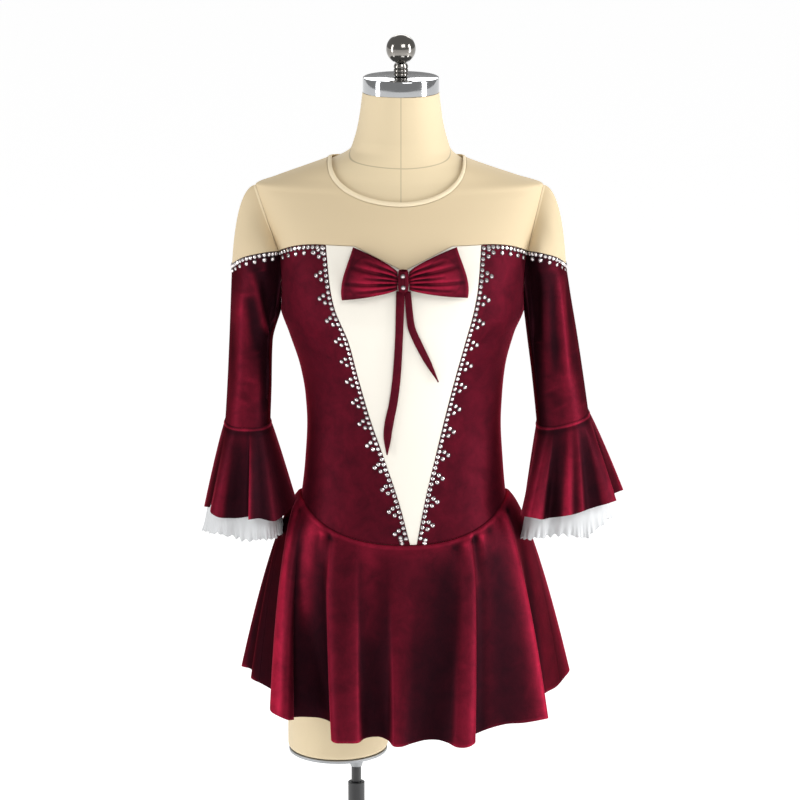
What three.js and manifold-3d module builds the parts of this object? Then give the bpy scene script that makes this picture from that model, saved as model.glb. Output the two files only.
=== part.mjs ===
// Figure skating dress with bell cuffs and a sheer yoke, worn by a limbless dress form on a round stand.
// Millimetres, +Z up. The front faces -Y, and the origin is on the floor under the pole.

import * as THREE from 'three';
import { mergeVertices } from 'three/addons/utils/BufferGeometryUtils.js';
import Module from 'manifold-3d';

const wasm = await Module();
wasm.setup();

// ---------------------------------------------------------------- driving dimensions

const TORSO_OFFSET = 63;        // torso axis, to the viewer's right of the pole
const SEAM = 0.3;               // gap between two pieces that are sewn together
const VELVET = 2;               // wall of the stretch velvet
const KNIT = 2;                 // wall of the ivory knit of the V panel
const MESH = 1.2;               // wall of the nude net
const CHIFFON = 1.2;            // wall of the white frill
const SKIRT_GAP = 1.2;          // gap under the waist seam, which the skirt hangs from
const YOKE_LIFT = 1.1;          // how far the net stands off the body line

const ARMPIT_Z = 1206;
const ARMHOLE_TOP_Z = 1291;     // where the velvet's top edge crosses the armhole
const ARMHOLE_LEAN = 20;        // degrees from the side seam to that crossing
const SHOULDER_Z = 1370;
const NECK_SIDE_Z = 1406.5;
const NECK_CENTRE_X = -4;
const NECK_FRONT_DROP = 47;
const NECK_BACK_DROP = 7;
const BINDING_WIDTH = 7;
const SEAM_SIDE_Z = 966;        // skirt seam at the side seams
const SEAM_FRONT_DROP = 48;
const SEAM_BACK_DROP = 42;
const SKIRT_LENGTH = 245;
const FLOUNCE_LENGTH = 113;
const FRILL_LENGTH = 143;

// Half widths and depths of the dressed body about the torso axis, a row for each height.
const BODY = [
  { z: 780, left: 140, right: 140, front: 84, back: 108, power: 2.2 },
  { z: 820, left: 149, right: 148, front: 96, back: 120, power: 2.3 },
  { z: 870, left: 151, right: 150, front: 102, back: 122, power: 2.3 },
  { z: 921, left: 144, right: 143, front: 103, back: 116, power: 2.25 },
  { z: 962, left: 134, right: 133, front: 99, back: 106, power: 2.2 },
  { z: 1011, left: 128.5, right: 128.5, front: 92, back: 94, power: 2.2 },
  { z: 1059, left: 126, right: 126, front: 88, back: 87, power: 2.2 },
  { z: 1095, left: 128, right: 127.5, front: 92, back: 86, power: 2.2 },
  { z: 1131, left: 134, right: 131, front: 101, back: 88, power: 2.2 },
  { z: 1179, left: 149, right: 143, front: 116, back: 93, power: 2.3 },
  { z: 1212, left: 160, right: 156, front: 123, back: 96, power: 2.35 },
  { z: 1250, left: 164, right: 160, front: 121, back: 98, power: 2.4 },
  { z: 1290, left: 169, right: 166, front: 108, back: 97, power: 2.3 },
  { z: 1330, left: 181, right: 172, front: 90, back: 92, power: 2 },
  { z: 1358, left: 188, right: 176, front: 74, back: 85, power: 1.75 },
  { z: 1370, left: 190, right: 178, front: 68, back: 80, power: 1.6 },
  { z: 1381, left: 164, right: 147, front: 63, back: 74, power: 1.6 },
  { z: 1393, left: 130, right: 110, front: 60, back: 69, power: 1.7 },
  { z: 1402, left: 104, right: 84, front: 58, back: 65, power: 1.85 },
  { z: 1407, left: 91, right: 74, front: 57, back: 62, power: 1.95 },
  { z: 1413, left: 77, right: 65, front: 56.5, back: 60, power: 2 },
  { z: 1419, left: 69, right: 60, front: 56, back: 58, power: 2 },
  { z: 1450, left: 59, right: 50.5, front: 52, back: 53, power: 2 },
  { z: 1500, left: 52, right: 44, front: 48, back: 48, power: 2 },
];

// The two seams of the V panel, as places across the front.
const V_SEAMS = [
  { z: 915, left: 8.5, right: 15.7 },
  { z: 967, left: -5, right: 25.5 },
  { z: 1035, left: -28, right: 41.5 },
  { z: 1075, left: -42, right: 51 },
  { z: 1135, left: -58.5, right: 65.5 },
  { z: 1186, left: -71, right: 78.5 },
  { z: 1231, left: -89, right: 90 },
  { z: 1255, left: -94, right: 94 },
  { z: 1310, left: -100, right: 98.5 },
];
const V_TOP_Z = 1307;
const SWEETHEART_DIP = 29;
const SWEETHEART_HALF = 62;

// Velvet edge round the outside of the arm: `out` is the share of the sleeve's reach from the armhole.
const SLEEVE_TOP = [
  { out: 0.3, y: -60, z: 1292 },
  { out: 0.72, y: -48, z: 1284 },
  { out: 0.95, y: -23, z: 1272 },
  { out: 1, y: -3, z: 1267 },
  { out: 0.95, y: 18, z: 1271 },
  { out: 0.72, y: 42, z: 1282 },
  { out: 0.3, y: 51, z: 1289 },
];

// Sections of each sleeve about the torso axis.
const SLEEVES = {
  left: {
    sign: -1,
    reach: 222,
    cuff: { inner: 1062, outer: 1063 },
    sections: [
      { z: 1055, outer: 232.5, inner: 173.5, front: -64, back: 32 },
      { z: 1110, outer: 229, inner: 172, front: -60, back: 36 },
      { z: 1166, outer: 226.5, inner: 173, front: -54, back: 44 },
      { z: 1206, outer: 225, inner: 166, front: -56, back: 50 },
      { z: 1295, outer: 222, inner: 158, front: -62, back: 55 },
    ],
  },
  right: {
    sign: 1,
    reach: 209,
    cuff: { inner: 1060, outer: 1075 },
    sections: [
      { z: 1055, outer: 242, inner: 172.5, front: -66, back: 30 },
      { z: 1125, outer: 232, inner: 166, front: -61, back: 36 },
      { z: 1176, outer: 224.5, inner: 162, front: -56, back: 44 },
      { z: 1228, outer: 216.5, inner: 160, front: -57, back: 50 },
      { z: 1295, outer: 208, inner: 156, front: -62, back: 55 },
    ],
  },
};

// Folds of a skirt or cuff hem: `turn` runs from the viewer's right (0) through the front (90) to the
// left (180) and the back (270), `reach` is the share of the hem's own radius, and `drop` is how far
// the hem hangs below its even line.
const SKIRT_HEM = { x: 0, y: 4, right: 214, left: 214, front: 176, back: 186 };
const SKIRT_FOLDS = [
  { turn: -17, reach: 1.04, drop: -6 },
  { turn: 8, reach: 0.86, drop: -12 },
  { turn: 32, reach: 1.04, drop: -2 },
  { turn: 49, reach: 0.95, drop: -6 },
  { turn: 68, reach: 1.12, drop: 7 },
  { turn: 80, reach: 0.96, drop: 2 },
  { turn: 91, reach: 1.07, drop: 6 },
  { turn: 100.5, reach: 0.89, drop: 3 },
  { turn: 107, reach: 1.04, drop: 5 },
  { turn: 114, reach: 1.06, drop: 5 },
  { turn: 127, reach: 0.82, drop: -6 },
  { turn: 141, reach: 1.02, drop: 2 },
  { turn: 161, reach: 0.9, drop: -9 },
  { turn: 183, reach: 1.02, drop: -2 },
  { turn: 198, reach: 0.89, drop: -8 },
  { turn: 213, reach: 1.06, drop: 0 },
  { turn: 226, reach: 0.88, drop: -3 },
  { turn: 239, reach: 1.05, drop: 4 },
  { turn: 251, reach: 0.9, drop: 1 },
  { turn: 264, reach: 1.08, drop: 6 },
  { turn: 275, reach: 0.92, drop: 2 },
  { turn: 287, reach: 1.04, drop: 5 },
  { turn: 300, reach: 0.87, drop: -4 },
  { turn: 314, reach: 1.07, drop: 1 },
  { turn: 328, reach: 0.88, drop: -8 },
];
const SKIRT_FLARE = 0.6;

const LEFT_FLOUNCE = {
  hem: { x: -205, y: -16, right: 50, left: 54, front: 68, back: 64 },
  folds: [
    { turn: -38, reach: 0.98, drop: 2 },
    { turn: -12, reach: 0.8, drop: -2 },
    { turn: 30, reach: 1.3, drop: -4 },
    { turn: 46, reach: 0.98, drop: 0 },
    { turn: 64, reach: 1.1, drop: 6 },
    { turn: 77, reach: 0.95, drop: 2 },
    { turn: 92, reach: 1.1, drop: 4 },
    { turn: 110, reach: 0.94, drop: 1 },
    { turn: 134, reach: 1.12, drop: 3 },
    { turn: 153, reach: 0.93, drop: 0 },
    { turn: 177, reach: 1.03, drop: 0 },
    { turn: 199, reach: 0.9, drop: -2 },
    { turn: 226, reach: 1.1, drop: 2 },
    { turn: 250, reach: 0.92, drop: 0 },
    { turn: 276, reach: 1.08, drop: 4 },
    { turn: 300, reach: 0.9, drop: 1 },
  ],
};
const RIGHT_FLOUNCE = {
  hem: { x: 216, y: -18, right: 62, left: 54, front: 68, back: 62 },
  folds: [
    { turn: -34, reach: 1.02, drop: -8 },
    { turn: -16, reach: 0.9, drop: -12 },
    { turn: 4, reach: 1.06, drop: -16 },
    { turn: 24, reach: 0.92, drop: -12 },
    { turn: 44, reach: 1.1, drop: -6 },
    { turn: 58, reach: 0.95, drop: -2 },
    { turn: 74, reach: 1.1, drop: 2 },
    { turn: 90, reach: 0.96, drop: 4 },
    { turn: 106, reach: 1.08, drop: 6 },
    { turn: 122, reach: 0.93, drop: 6 },
    { turn: 144, reach: 1.14, drop: 10 },
    { turn: 170, reach: 0.84, drop: 6 },
    { turn: 203, reach: 0.92, drop: 4 },
    { turn: 232, reach: 0.82, drop: 2 },
    { turn: 262, reach: 1.06, drop: 4 },
    { turn: 292, reach: 0.9, drop: -2 },
  ],
};
const CUFF_FLARE = 0.85;
const FRILL_WAVES = 12;
const FRILL_WAVE_DEPTH = 2.2;
const FRILL_INSET = 3.2;
const FRILL_MOST_REACH = 0.98;

// Bow: one loop's outline, from the knot to its outer end.
const BOW = {
  x: -1,
  knotHalf: 7,
  knotTop: 1281,
  knotBottom: 1256,
  knotMiddle: 9.2,
  depth: 9,
  left: { reachTop: 64, reachBottom: 78, top: 1312, bottom: 1246 },
  right: { reachTop: 68, reachBottom: 82, top: 1312, bottom: 1246 },
};
const BOW_LIFT = 0.8;
const BOW_WALL = 1.2;
const BOW_END_ROUNDING = 0.6;     // 1 is a sharp fold at a loop's end, less is rounder
const TAILS = {
  left: [
    { x: -4.5, z: 1254, width: 9 },
    { x: -6.5, z: 1192, width: 9 },
    { x: -9.5, z: 1140, width: 9 },
    { x: -14, z: 1102, width: 9.5 },
    { x: -18.5, z: 1079, width: 10 },
    { x: -21, z: 1058, width: 9 },
    { x: -21.5, z: 1034, width: 2 },
  ],
  right: [
    { x: 4.5, z: 1254, width: 7 },
    { x: 8.5, z: 1212, width: 8.5 },
    { x: 16.5, z: 1190, width: 9.5 },
    { x: 27, z: 1167, width: 8.5 },
    { x: 43, z: 1133, width: 2 },
  ],
};
const TAIL_THICKNESS = 2;
const TAIL_LIFT = 1.2;

// Stand and hardware.
const BASE_RADIUS = 220;
const BASE_EDGE = 8;
const BASE_CROWN = 18;
const HUB = { radius: 24, height: 46 };
const TUBE = { radius: 11, top: 569 };
const ROD = { radius: 6.5, top: 590 };
const SOCKET = { lowRadius: 7.5, highRadius: 13, low: 590, high: 612 };
const PLATE_THICKNESS = 4;
const STUB_BOTTOM = 617;
const NECK_TOP = 1490;
const CAP = { radius: 49, height: 20 };
const STEM = { radius: 8, bead: 9.5 };
const BALL = { radius: 19, top: 1565 };
const THIGHS = [
  { x: -87, y: 6, width: 66, depth: 74, bottom: STUB_BOTTOM, bottomShare: 0.99 },
  { x: 74, y: 6, width: 64, depth: 74, bottom: 716, bottomShare: 1 },
];
const THIGH_TOP = 830;
const THIGH_SIDES = 28;

// ---------------------------------------------------------------- finishes

const velvet = { color: 0x6e0d22, roughness: 0.75, metalness: 0 };
const ivoryKnit = { color: 0xf5efe2, roughness: 0.85, metalness: 0 };
const nudeNet = { color: 0xe4cfa4, roughness: 0.9, metalness: 0 };
const whiteChiffon = { color: 0xf0f0f0, roughness: 0.9, metalness: 0 };
const formCover = { color: 0xdec89f, roughness: 0.8, metalness: 0 };
const chrome = { color: 0xc9ccd0, roughness: 0.12, metalness: 1 };
const greySteel = { color: 0x7b7f84, roughness: 0.4, metalness: 0.9 };
const blackSteel = { color: 0x17181a, roughness: 0.45, metalness: 0.6 };

// ---------------------------------------------------------------- small tools

const mix = (from, to, share) => from + (to - from) * share;
const radians = (degrees) => (degrees * Math.PI) / 180;
const signedPower = (value, power) => Math.sign(value) * Math.abs(value) ** power;

// A smooth curve through one column of a table, which never overshoots between its rows.
function smoothColumn(rows, along, name) {
  const at = rows.map((row) => row[along]);
  const value = rows.map((row) => row[name]);
  const last = at.length - 1;
  const slope = at.slice(1).map((next, i) => (value[i + 1] - value[i]) / (next - at[i]));
  const tangent = value.map((_, i) => {
    if (i === 0) return slope[0];
    if (i === last) return slope[last - 1];
    const product = slope[i - 1] * slope[i];
    return product <= 0 ? 0 : (2 * product) / (slope[i - 1] + slope[i]);
  });
  return (place) => {
    const clamped = Math.min(Math.max(place, at[0]), at[last]);
    let i = 0;
    while (i < last - 1 && clamped > at[i + 1]) i += 1;
    const span = at[i + 1] - at[i];
    const t = (clamped - at[i]) / span;
    const rise = t * t * (3 - 2 * t);
    return (
      mix(value[i], value[i + 1], rise) +
      span * t * (1 - t) * (tangent[i] * (1 - t) - tangent[i + 1] * t)
    );
  };
}

function smoothTable(rows, along, names) {
  const columns = names.map((name) => [name, smoothColumn(rows, along, name)]);
  return (place) => Object.fromEntries(columns.map(([name, curve]) => [name, curve(place)]));
}

// Folds repeat round the hem, so the rows at each end are copied past the other end.
function smoothFolds(rows) {
  const before = rows.slice(-2).map((row) => ({ ...row, turn: row.turn - 360 }));
  const after = rows.slice(0, 2).map((row) => ({ ...row, turn: row.turn + 360 }));
  const curve = smoothTable([...before, ...rows, ...after], 'turn', ['reach', 'drop']);
  const first = rows[0].turn;
  return (turn) => curve(((((turn - first) % 360) + 360) % 360) + first);
}

// A closed wall: the outer face is `outer(u, v)`, and the inner face lies `thickness` behind it,
// against the direction `outward(u, v, point)`. A closed wall joins its last column to its first.
function wallGeometry({ columns, rows, outer, outward, thickness, closed = false }) {
  const across = closed ? columns : columns + 1;
  const positions = [];
  const faces = [];
  const inner = [];
  for (let j = 0; j <= rows; j += 1) {
    for (let i = 0; i < across; i += 1) {
      const u = i / columns;
      const v = j / rows;
      const point = outer(u, v);
      const back = outward(u, v, point).clone().normalize().multiplyScalar(-thickness).add(point);
      positions.push(point.x, point.y, point.z);
      inner.push(back.x, back.y, back.z);
    }
  }
  const count = across * (rows + 1);
  const id = (i, j, side) => (i % across) + j * across + side * count;
  const quad = (a, b, c, d) => faces.push(a, b, c, a, c, d);
  for (let j = 0; j < rows; j += 1) {
    for (let i = 0; i < columns; i += 1) {
      quad(id(i, j, 0), id(i + 1, j, 0), id(i + 1, j + 1, 0), id(i, j + 1, 0));
      quad(id(i, j, 1), id(i, j + 1, 1), id(i + 1, j + 1, 1), id(i + 1, j, 1));
    }
    if (!closed) {
      quad(id(0, j, 0), id(0, j + 1, 0), id(0, j + 1, 1), id(0, j, 1));
      quad(id(columns, j, 0), id(columns, j, 1), id(columns, j + 1, 1), id(columns, j + 1, 0));
    }
  }
  for (let i = 0; i < columns; i += 1) {
    quad(id(i, 0, 0), id(i, 0, 1), id(i + 1, 0, 1), id(i + 1, 0, 0));
    quad(id(i, rows, 0), id(i + 1, rows, 0), id(i + 1, rows, 1), id(i, rows, 1));
  }
  return closedGeometry([...positions, ...inner], faces);
}

// Gives a closed mesh outward faces, whichever way round its points were listed.
function closedGeometry(positions, faces) {
  const corner = (index) => new THREE.Vector3().fromArray(positions, index * 3);
  let volume = 0;
  for (let i = 0; i < faces.length; i += 3) {
    volume += corner(faces[i]).dot(corner(faces[i + 1]).cross(corner(faces[i + 2])));
  }
  const outward = [...faces];
  if (volume < 0) {
    for (let i = 0; i < outward.length; i += 3) {
      [outward[i + 1], outward[i + 2]] = [outward[i + 2], outward[i + 1]];
    }
  }
  const geometry = new THREE.BufferGeometry();
  geometry.setAttribute('position', new THREE.Float32BufferAttribute(positions, 3));
  geometry.setIndex(outward);
  return geometry;
}

// A solid of stacked rings, closed by a fan at each end.
function ringSolid(rings) {
  const sides = rings[0].length;
  const positions = rings.flat().flatMap((point) => [point.x, point.y, point.z]);
  const faces = [];
  for (let j = 0; j < rings.length - 1; j += 1) {
    for (let i = 0; i < sides; i += 1) {
      const a = j * sides + i;
      const b = j * sides + ((i + 1) % sides);
      faces.push(a, b, b + sides, a, b + sides, a + sides);
    }
  }
  [rings[0], rings[rings.length - 1]].forEach((ring, end) => {
    const middle = new THREE.Vector3();
    ring.forEach((point) => middle.add(point));
    middle.divideScalar(sides);
    const centre = positions.length / 3;
    positions.push(middle.x, middle.y, middle.z);
    const start = end * (rings.length - 1) * sides;
    for (let i = 0; i < sides; i += 1) {
      const a = start + i;
      const b = start + ((i + 1) % sides);
      faces.push(...(end === 0 ? [b, a, centre] : [a, b, centre]));
    }
  });
  return closedGeometry(positions, faces);
}

function toManifold(geometry) {
  const bare = geometry.clone();
  bare.deleteAttribute('normal');
  bare.deleteAttribute('uv');
  const merged = mergeVertices(bare, 1e-4);
  return new wasm.Manifold(
    new wasm.Mesh({
      numProp: 3,
      vertProperties: Float32Array.from(merged.attributes.position.array),
      triVerts: Uint32Array.from(merged.index.array),
    }),
  );
}

function fromManifold(solid) {
  const result = solid.getMesh();
  const geometry = new THREE.BufferGeometry();
  geometry.setAttribute('position', new THREE.Float32BufferAttribute(result.vertProperties, 3));
  geometry.setIndex(Array.from(result.triVerts));
  return geometry;
}

function piece(name, geometry, finish) {
  const mesh = new THREE.Mesh(geometry, new THREE.MeshStandardMaterial(finish));
  mesh.name = name;
  return mesh;
}

// ---------------------------------------------------------------- the body that the dress follows

const bodySection = smoothTable(BODY, 'z', ['left', 'right', 'front', 'back', 'power']);

// Point of the body at a height, by its turn round the axis.
function bodyPoint(turn, z) {
  const at = bodySection(z);
  const cos = Math.cos(radians(turn));
  const sin = Math.sin(radians(turn));
  const half = cos >= 0 ? at.right : at.left;
  const depth = sin >= 0 ? at.front : at.back;
  return new THREE.Vector3(
    half * signedPower(cos, 2 / at.power),
    -depth * signedPower(sin, 2 / at.power),
    z,
  );
}

// Point of the front (face -1) or back (face 1) by its place across and its height.
function facePoint(x, z, face) {
  const at = bodySection(z);
  const half = x >= 0 ? at.right : at.left;
  const depth = face < 0 ? at.front : at.back;
  const share = Math.min(Math.abs(x) / half, 1);
  return new THREE.Vector3(x, face * depth * (1 - share ** at.power) ** (1 / at.power), z);
}

// Turn of the front's point at a place across.
function turnAt(x, z) {
  const at = bodySection(z);
  const half = x >= 0 ? at.right : at.left;
  const lean = (Math.acos(Math.min(Math.abs(x) / half, 1) ** (at.power / 2)) * 180) / Math.PI;
  return x >= 0 ? lean : 180 - lean;
}

function fullness(x, y, z) {
  const at = bodySection(z);
  const half = x >= 0 ? at.right : at.left;
  const depth = y <= 0 ? at.front : at.back;
  return (Math.abs(x) / half) ** at.power + (Math.abs(y) / depth) ** at.power;
}

// Outward direction at a point, so that pieces which meet there are cut at the same slant.
function bodyNormal(point) {
  const { x, y, z } = point;
  const step = 0.4;
  return new THREE.Vector3(
    fullness(x + step, y, z) - fullness(x - step, y, z),
    fullness(x, y + step, z) - fullness(x, y - step, z),
    fullness(x, y, z + step) - fullness(x, y, z - step),
  ).normalize();
}

const lifted = (point, lift) => bodyNormal(point).multiplyScalar(lift).add(point);

function bodyWall(columns, rows, place, lift, thickness, closed = false) {
  return wallGeometry({
    columns,
    rows,
    closed,
    thickness,
    outer: (u, v) => lifted(place(u, v), lift),
    outward: (u, v) => bodyNormal(place(u, v)),
  });
}

// Height of the skirt seam round the hips.
function skirtSeamZ(turn) {
  const sin = Math.sin(radians(turn));
  const drop = sin >= 0 ? SEAM_FRONT_DROP : SEAM_BACK_DROP;
  return SEAM_SIDE_Z - drop * Math.abs(sin) ** 1.6;
}

// ---------------------------------------------------------------- bodice

const vSeams = smoothTable(V_SEAMS, 'z', ['left', 'right']);
const ARMHOLE_SHARE = 0.4;      // share of a panel's columns that end at the armhole
const SIDE_GAP = 0.06;          // half the side seam's gap, in degrees

// The armhole from the side seam (0) up to the velvet's top edge (1).
function armholeCurve(share) {
  return {
    lean: ARMHOLE_LEAN * Math.sin((share * Math.PI) / 2),
    z: mix(ARMHOLE_TOP_Z, ARMPIT_Z, Math.cos((share * Math.PI) / 2)),
  };
}

// The velvet's edge across the chest or back, from the armhole (0) to the far end (1).
function chestEdge(along, farLean, farZ) {
  return {
    lean: mix(ARMHOLE_LEAN, farLean, along),
    z: mix(ARMHOLE_TOP_Z, farZ, Math.sin((along * Math.PI) / 2)),
  };
}

// The top edge of a bodice panel: how far from the side seam, in degrees, and how high.
function panelTop(share, farLean, farZ) {
  if (share < ARMHOLE_SHARE) return armholeCurve(share / ARMHOLE_SHARE);
  return chestEdge((share - ARMHOLE_SHARE) / (1 - ARMHOLE_SHARE), farLean, farZ);
}

// How far the V panel's seam lies from the side seam, in degrees.
function seamLean(sign, z) {
  const edge = sign < 0 ? 'left' : 'right';
  const turn = turnAt(vSeams(z)[edge] + (sign * SEAM) / 2, z);
  return sign > 0 ? turn : 180 - turn;
}

function bodiceFront(sign) {
  const toTurn = (lean) => (sign > 0 ? lean : 180 - lean);
  const topLean = seamLean(sign, V_TOP_Z);
  const lowLean = seamLean(sign, SEAM_SIDE_Z - SEAM_FRONT_DROP);
  return bodyWall(10, 9, (u, v) => {
    const top = panelTop(u, topLean, V_TOP_Z);
    const low = skirtSeamZ(toTurn(mix(SIDE_GAP, lowLean, u)));
    const z = mix(low, top.z, v);
    const share = mix(u, top.lean / topLean, v);
    return bodyPoint(toTurn(mix(SIDE_GAP, seamLean(sign, z), share)), z);
  }, 0, VELVET);
}

const BACK_TOP_Z = 1300;

function bodiceBack() {
  const backTop = (share) => {
    const half = share < 0.5 ? share * 2 : (1 - share) * 2;
    const top = panelTop(half, 90, BACK_TOP_Z);
    return { turn: share < 0.5 ? 180 + top.lean : 360 - top.lean, z: top.z };
  };
  return bodyWall(20, 8, (u, v) => {
    const top = backTop(u);
    const lowTurn = mix(180 + SIDE_GAP, 360 - SIDE_GAP, u);
    const topTurn = mix(180 + SIDE_GAP, 360 - SIDE_GAP, (top.turn - 180) / 180);
    return bodyPoint(mix(lowTurn, topTurn, v), mix(skirtSeamZ(lowTurn), top.z, v));
  }, 0, VELVET);
}

// The sweetheart edge at the top of the V panel.
function vPanelTop(x) {
  const away = Math.abs(x - BOW.x) / SWEETHEART_HALF;
  return V_TOP_Z - SWEETHEART_DIP * Math.max(0, 1 - away);
}

function vPanel() {
  const acrossAt = (u, z) => mix(vSeams(z).left + SEAM / 2, vSeams(z).right - SEAM / 2, u);
  return bodyWall(12, 9, (u, v) => {
    const low = skirtSeamZ(turnAt(acrossAt(u, 920), 920));
    const z = mix(low, vPanelTop(acrossAt(u, V_TOP_Z)), v);
    return facePoint(acrossAt(u, z), z, -1);
  }, 0, KNIT);
}

// ---------------------------------------------------------------- sheer yoke and neck

// The neckline: `angle` is 0 at the centre and 90 at the side, `step` is the way out from the edge.
function neckEdge(sign, angle, face, step) {
  const sideZ = NECK_SIDE_Z - step * 0.38;
  const drop = (face < 0 ? NECK_FRONT_DROP : NECK_BACK_DROP) + step * 0.55;
  const at = bodySection(sideZ);
  const reach = (sign > 0 ? at.right : at.left) - sign * NECK_CENTRE_X;
  const z = sideZ - drop * Math.max(0, Math.cos(radians(angle))) ** 0.9;
  return { x: NECK_CENTRE_X + sign * reach * Math.sin(radians(angle)), z };
}

const NECK_SHARE = 0.5;         // share of a half yoke's columns that end at the neck
const V_SHARE = 0.5;            // share of them that start at the V panel

// Top edge of half a yoke, from the neck's centre (0) along the shoulder to its tip (1).
function yokeTop(sign, share, face) {
  const step = BINDING_WIDTH + 2 * SEAM;
  if (share < NECK_SHARE) return neckEdge(sign, (90 * share) / NECK_SHARE, face, step);
  const z = mix(NECK_SIDE_Z - step * 0.38, SHOULDER_Z, (share - NECK_SHARE) / (1 - NECK_SHARE));
  const at = bodySection(z);
  return { x: sign > 0 ? at.right : -at.left, z };
}

function armholeCorner(sign, face) {
  const lean = face < 0 ? ARMHOLE_LEAN : -ARMHOLE_LEAN;
  return bodyPoint(sign > 0 ? lean : 180 - lean, ARMHOLE_TOP_Z);
}

function yokeLow(sign, share, face) {
  const gap = 2 * SEAM;
  const onBody = (edge) => {
    const lean = face < 0 ? edge.lean : -edge.lean;
    return { x: bodyPoint(sign > 0 ? lean : 180 - lean, edge.z).x, z: edge.z + gap };
  };
  if (face > 0) return onBody(chestEdge(1 - share, 90, BACK_TOP_Z));
  if (share > V_SHARE) {
    return onBody(chestEdge((1 - share) / (1 - V_SHARE), seamLean(sign, V_TOP_Z), V_TOP_Z));
  }
  const { left, right } = vSeams(V_TOP_Z);
  const x = mix((left + right) / 2, sign < 0 ? left : right, share / V_SHARE);
  return { x, z: vPanelTop(x) + gap };
}

function yokePoint(sign, share, v, face) {
  const low = yokeLow(sign, share, face);
  const top = yokeTop(sign, share, face);
  const rise = 1 - (1 - v) ** 1.4;
  const point = facePoint(mix(low.x, top.x, rise), mix(low.z, top.z, rise), face);
  point.y += (face * SEAM) / 2;
  return point;
}

function yoke(face) {
  return bodyWall(24, 5, (u, v) => {
    const along = u * 2 - 1;
    return yokePoint(along < 0 ? -1 : 1, Math.abs(along), v, face);
  }, YOKE_LIFT, MESH);
}

function neckBinding() {
  return bodyWall(24, 1, (u, v) => {
    const turn = u * 360;
    const face = turn < 180 ? -1 : 1;
    const lean = turn < 180 ? turn - 90 : 270 - turn;
    const edge = neckEdge(lean < 0 ? -1 : 1, Math.abs(lean), face, (1 - v) * BINDING_WIDTH);
    return facePoint(edge.x, edge.z, face);
  }, YOKE_LIFT + 0.6, 2.2, true);
}

// ---------------------------------------------------------------- sleeves

// Round the outside of the arm, from the front of the armhole to its back.
function sleeveEdgeCurve(sleeve) {
  const front = lifted(armholeCorner(sleeve.sign, -1), 0.5);
  const back = lifted(armholeCorner(sleeve.sign, 1), 0.5);
  const around = SLEEVE_TOP.map((row) => {
    const near = Math.abs(front.x);
    return new THREE.Vector3(sleeve.sign * mix(near, sleeve.reach, row.out), row.y, row.z);
  });
  return new THREE.CatmullRomCurve3([front, ...around, back], false, 'centripetal');
}

const SLEEVE_ROUNDING = 0.86;   // 1 is an ellipse, less is squarer
const CAP_GAP = 1;              // between the yoke and the cap at the armhole
const OUTSIDE_SHARE = 0.66;     // share of the columns that lie outside the armhole

function sleeveTopPoint(sleeve, curve, u) {
  if (u <= OUTSIDE_SHARE) return curve.getPoint(u / OUTSIDE_SHARE);
  const along = (u - OUTSIDE_SHARE) / (1 - OUTSIDE_SHARE);
  const across = 1 - 2 * along;
  const at = armholeCurve(Math.abs(across));
  const lean = across > 0 ? -at.lean : at.lean;
  return lifted(bodyPoint(sleeve.sign > 0 ? lean : 180 - lean, at.z), 0.5);
}

function sleeveShape(sleeve) {
  const sectionAt = smoothTable(sleeve.sections, 'z', ['outer', 'inner', 'front', 'back']);
  const centreAt = (z) => {
    const at = sectionAt(z);
    return new THREE.Vector3((sleeve.sign * (at.outer + at.inner)) / 2, (at.front + at.back) / 2, z);
  };
  const ringPoint = (angle, z) => {
    const at = sectionAt(z);
    const centre = centreAt(z);
    return new THREE.Vector3(
      centre.x + ((at.outer - at.inner) / 2) * signedPower(Math.cos(angle), SLEEVE_ROUNDING),
      centre.y + ((at.back - at.front) / 2) * signedPower(Math.sin(angle), SLEEVE_ROUNDING),
      z,
    );
  };
  const angleOf = (point) => {
    const at = sectionAt(point.z);
    const centre = centreAt(point.z);
    const across = (point.x - centre.x) / ((at.outer - at.inner) / 2);
    const deep = (point.y - centre.y) / ((at.back - at.front) / 2);
    return Math.atan2(signedPower(deep, 1 / SLEEVE_ROUNDING), signedPower(across, 1 / SLEEVE_ROUNDING));
  };
  const cuffZ = (x) => {
    const at = sectionAt(sleeve.cuff.inner);
    const share = (Math.abs(x) - at.inner) / (at.outer - at.inner);
    return mix(sleeve.cuff.inner, sleeve.cuff.outer, Math.min(Math.max(share, 0), 1));
  };
  const cuffPoint = (angle) => {
    const point = ringPoint(angle, sleeve.cuff.inner);
    return ringPoint(angle, cuffZ(point.x));
  };
  return { centreAt, ringPoint, angleOf, cuffPoint };
}

function sleeveWall(sleeve) {
  const shape = sleeveShape(sleeve);
  const curve = sleeveEdgeCurve(sleeve);
  return wallGeometry({
    columns: 26,
    rows: 6,
    closed: true,
    thickness: VELVET,
    outer: (u, v) => {
      const top = sleeveTopPoint(sleeve, curve, u);
      const angle = shape.angleOf(top);
      const cuff = shape.cuffPoint(angle);
      const z = mix(top.z, cuff.z, v);
      const fromTop = top.clone().sub(shape.ringPoint(angle, top.z));
      return shape.ringPoint(angle, z).addScaledVector(fromTop, (1 - v) ** 2.5);
    },
    outward: (u, v, point) => point.clone().sub(shape.centreAt(point.z)),
  });
}

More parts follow.
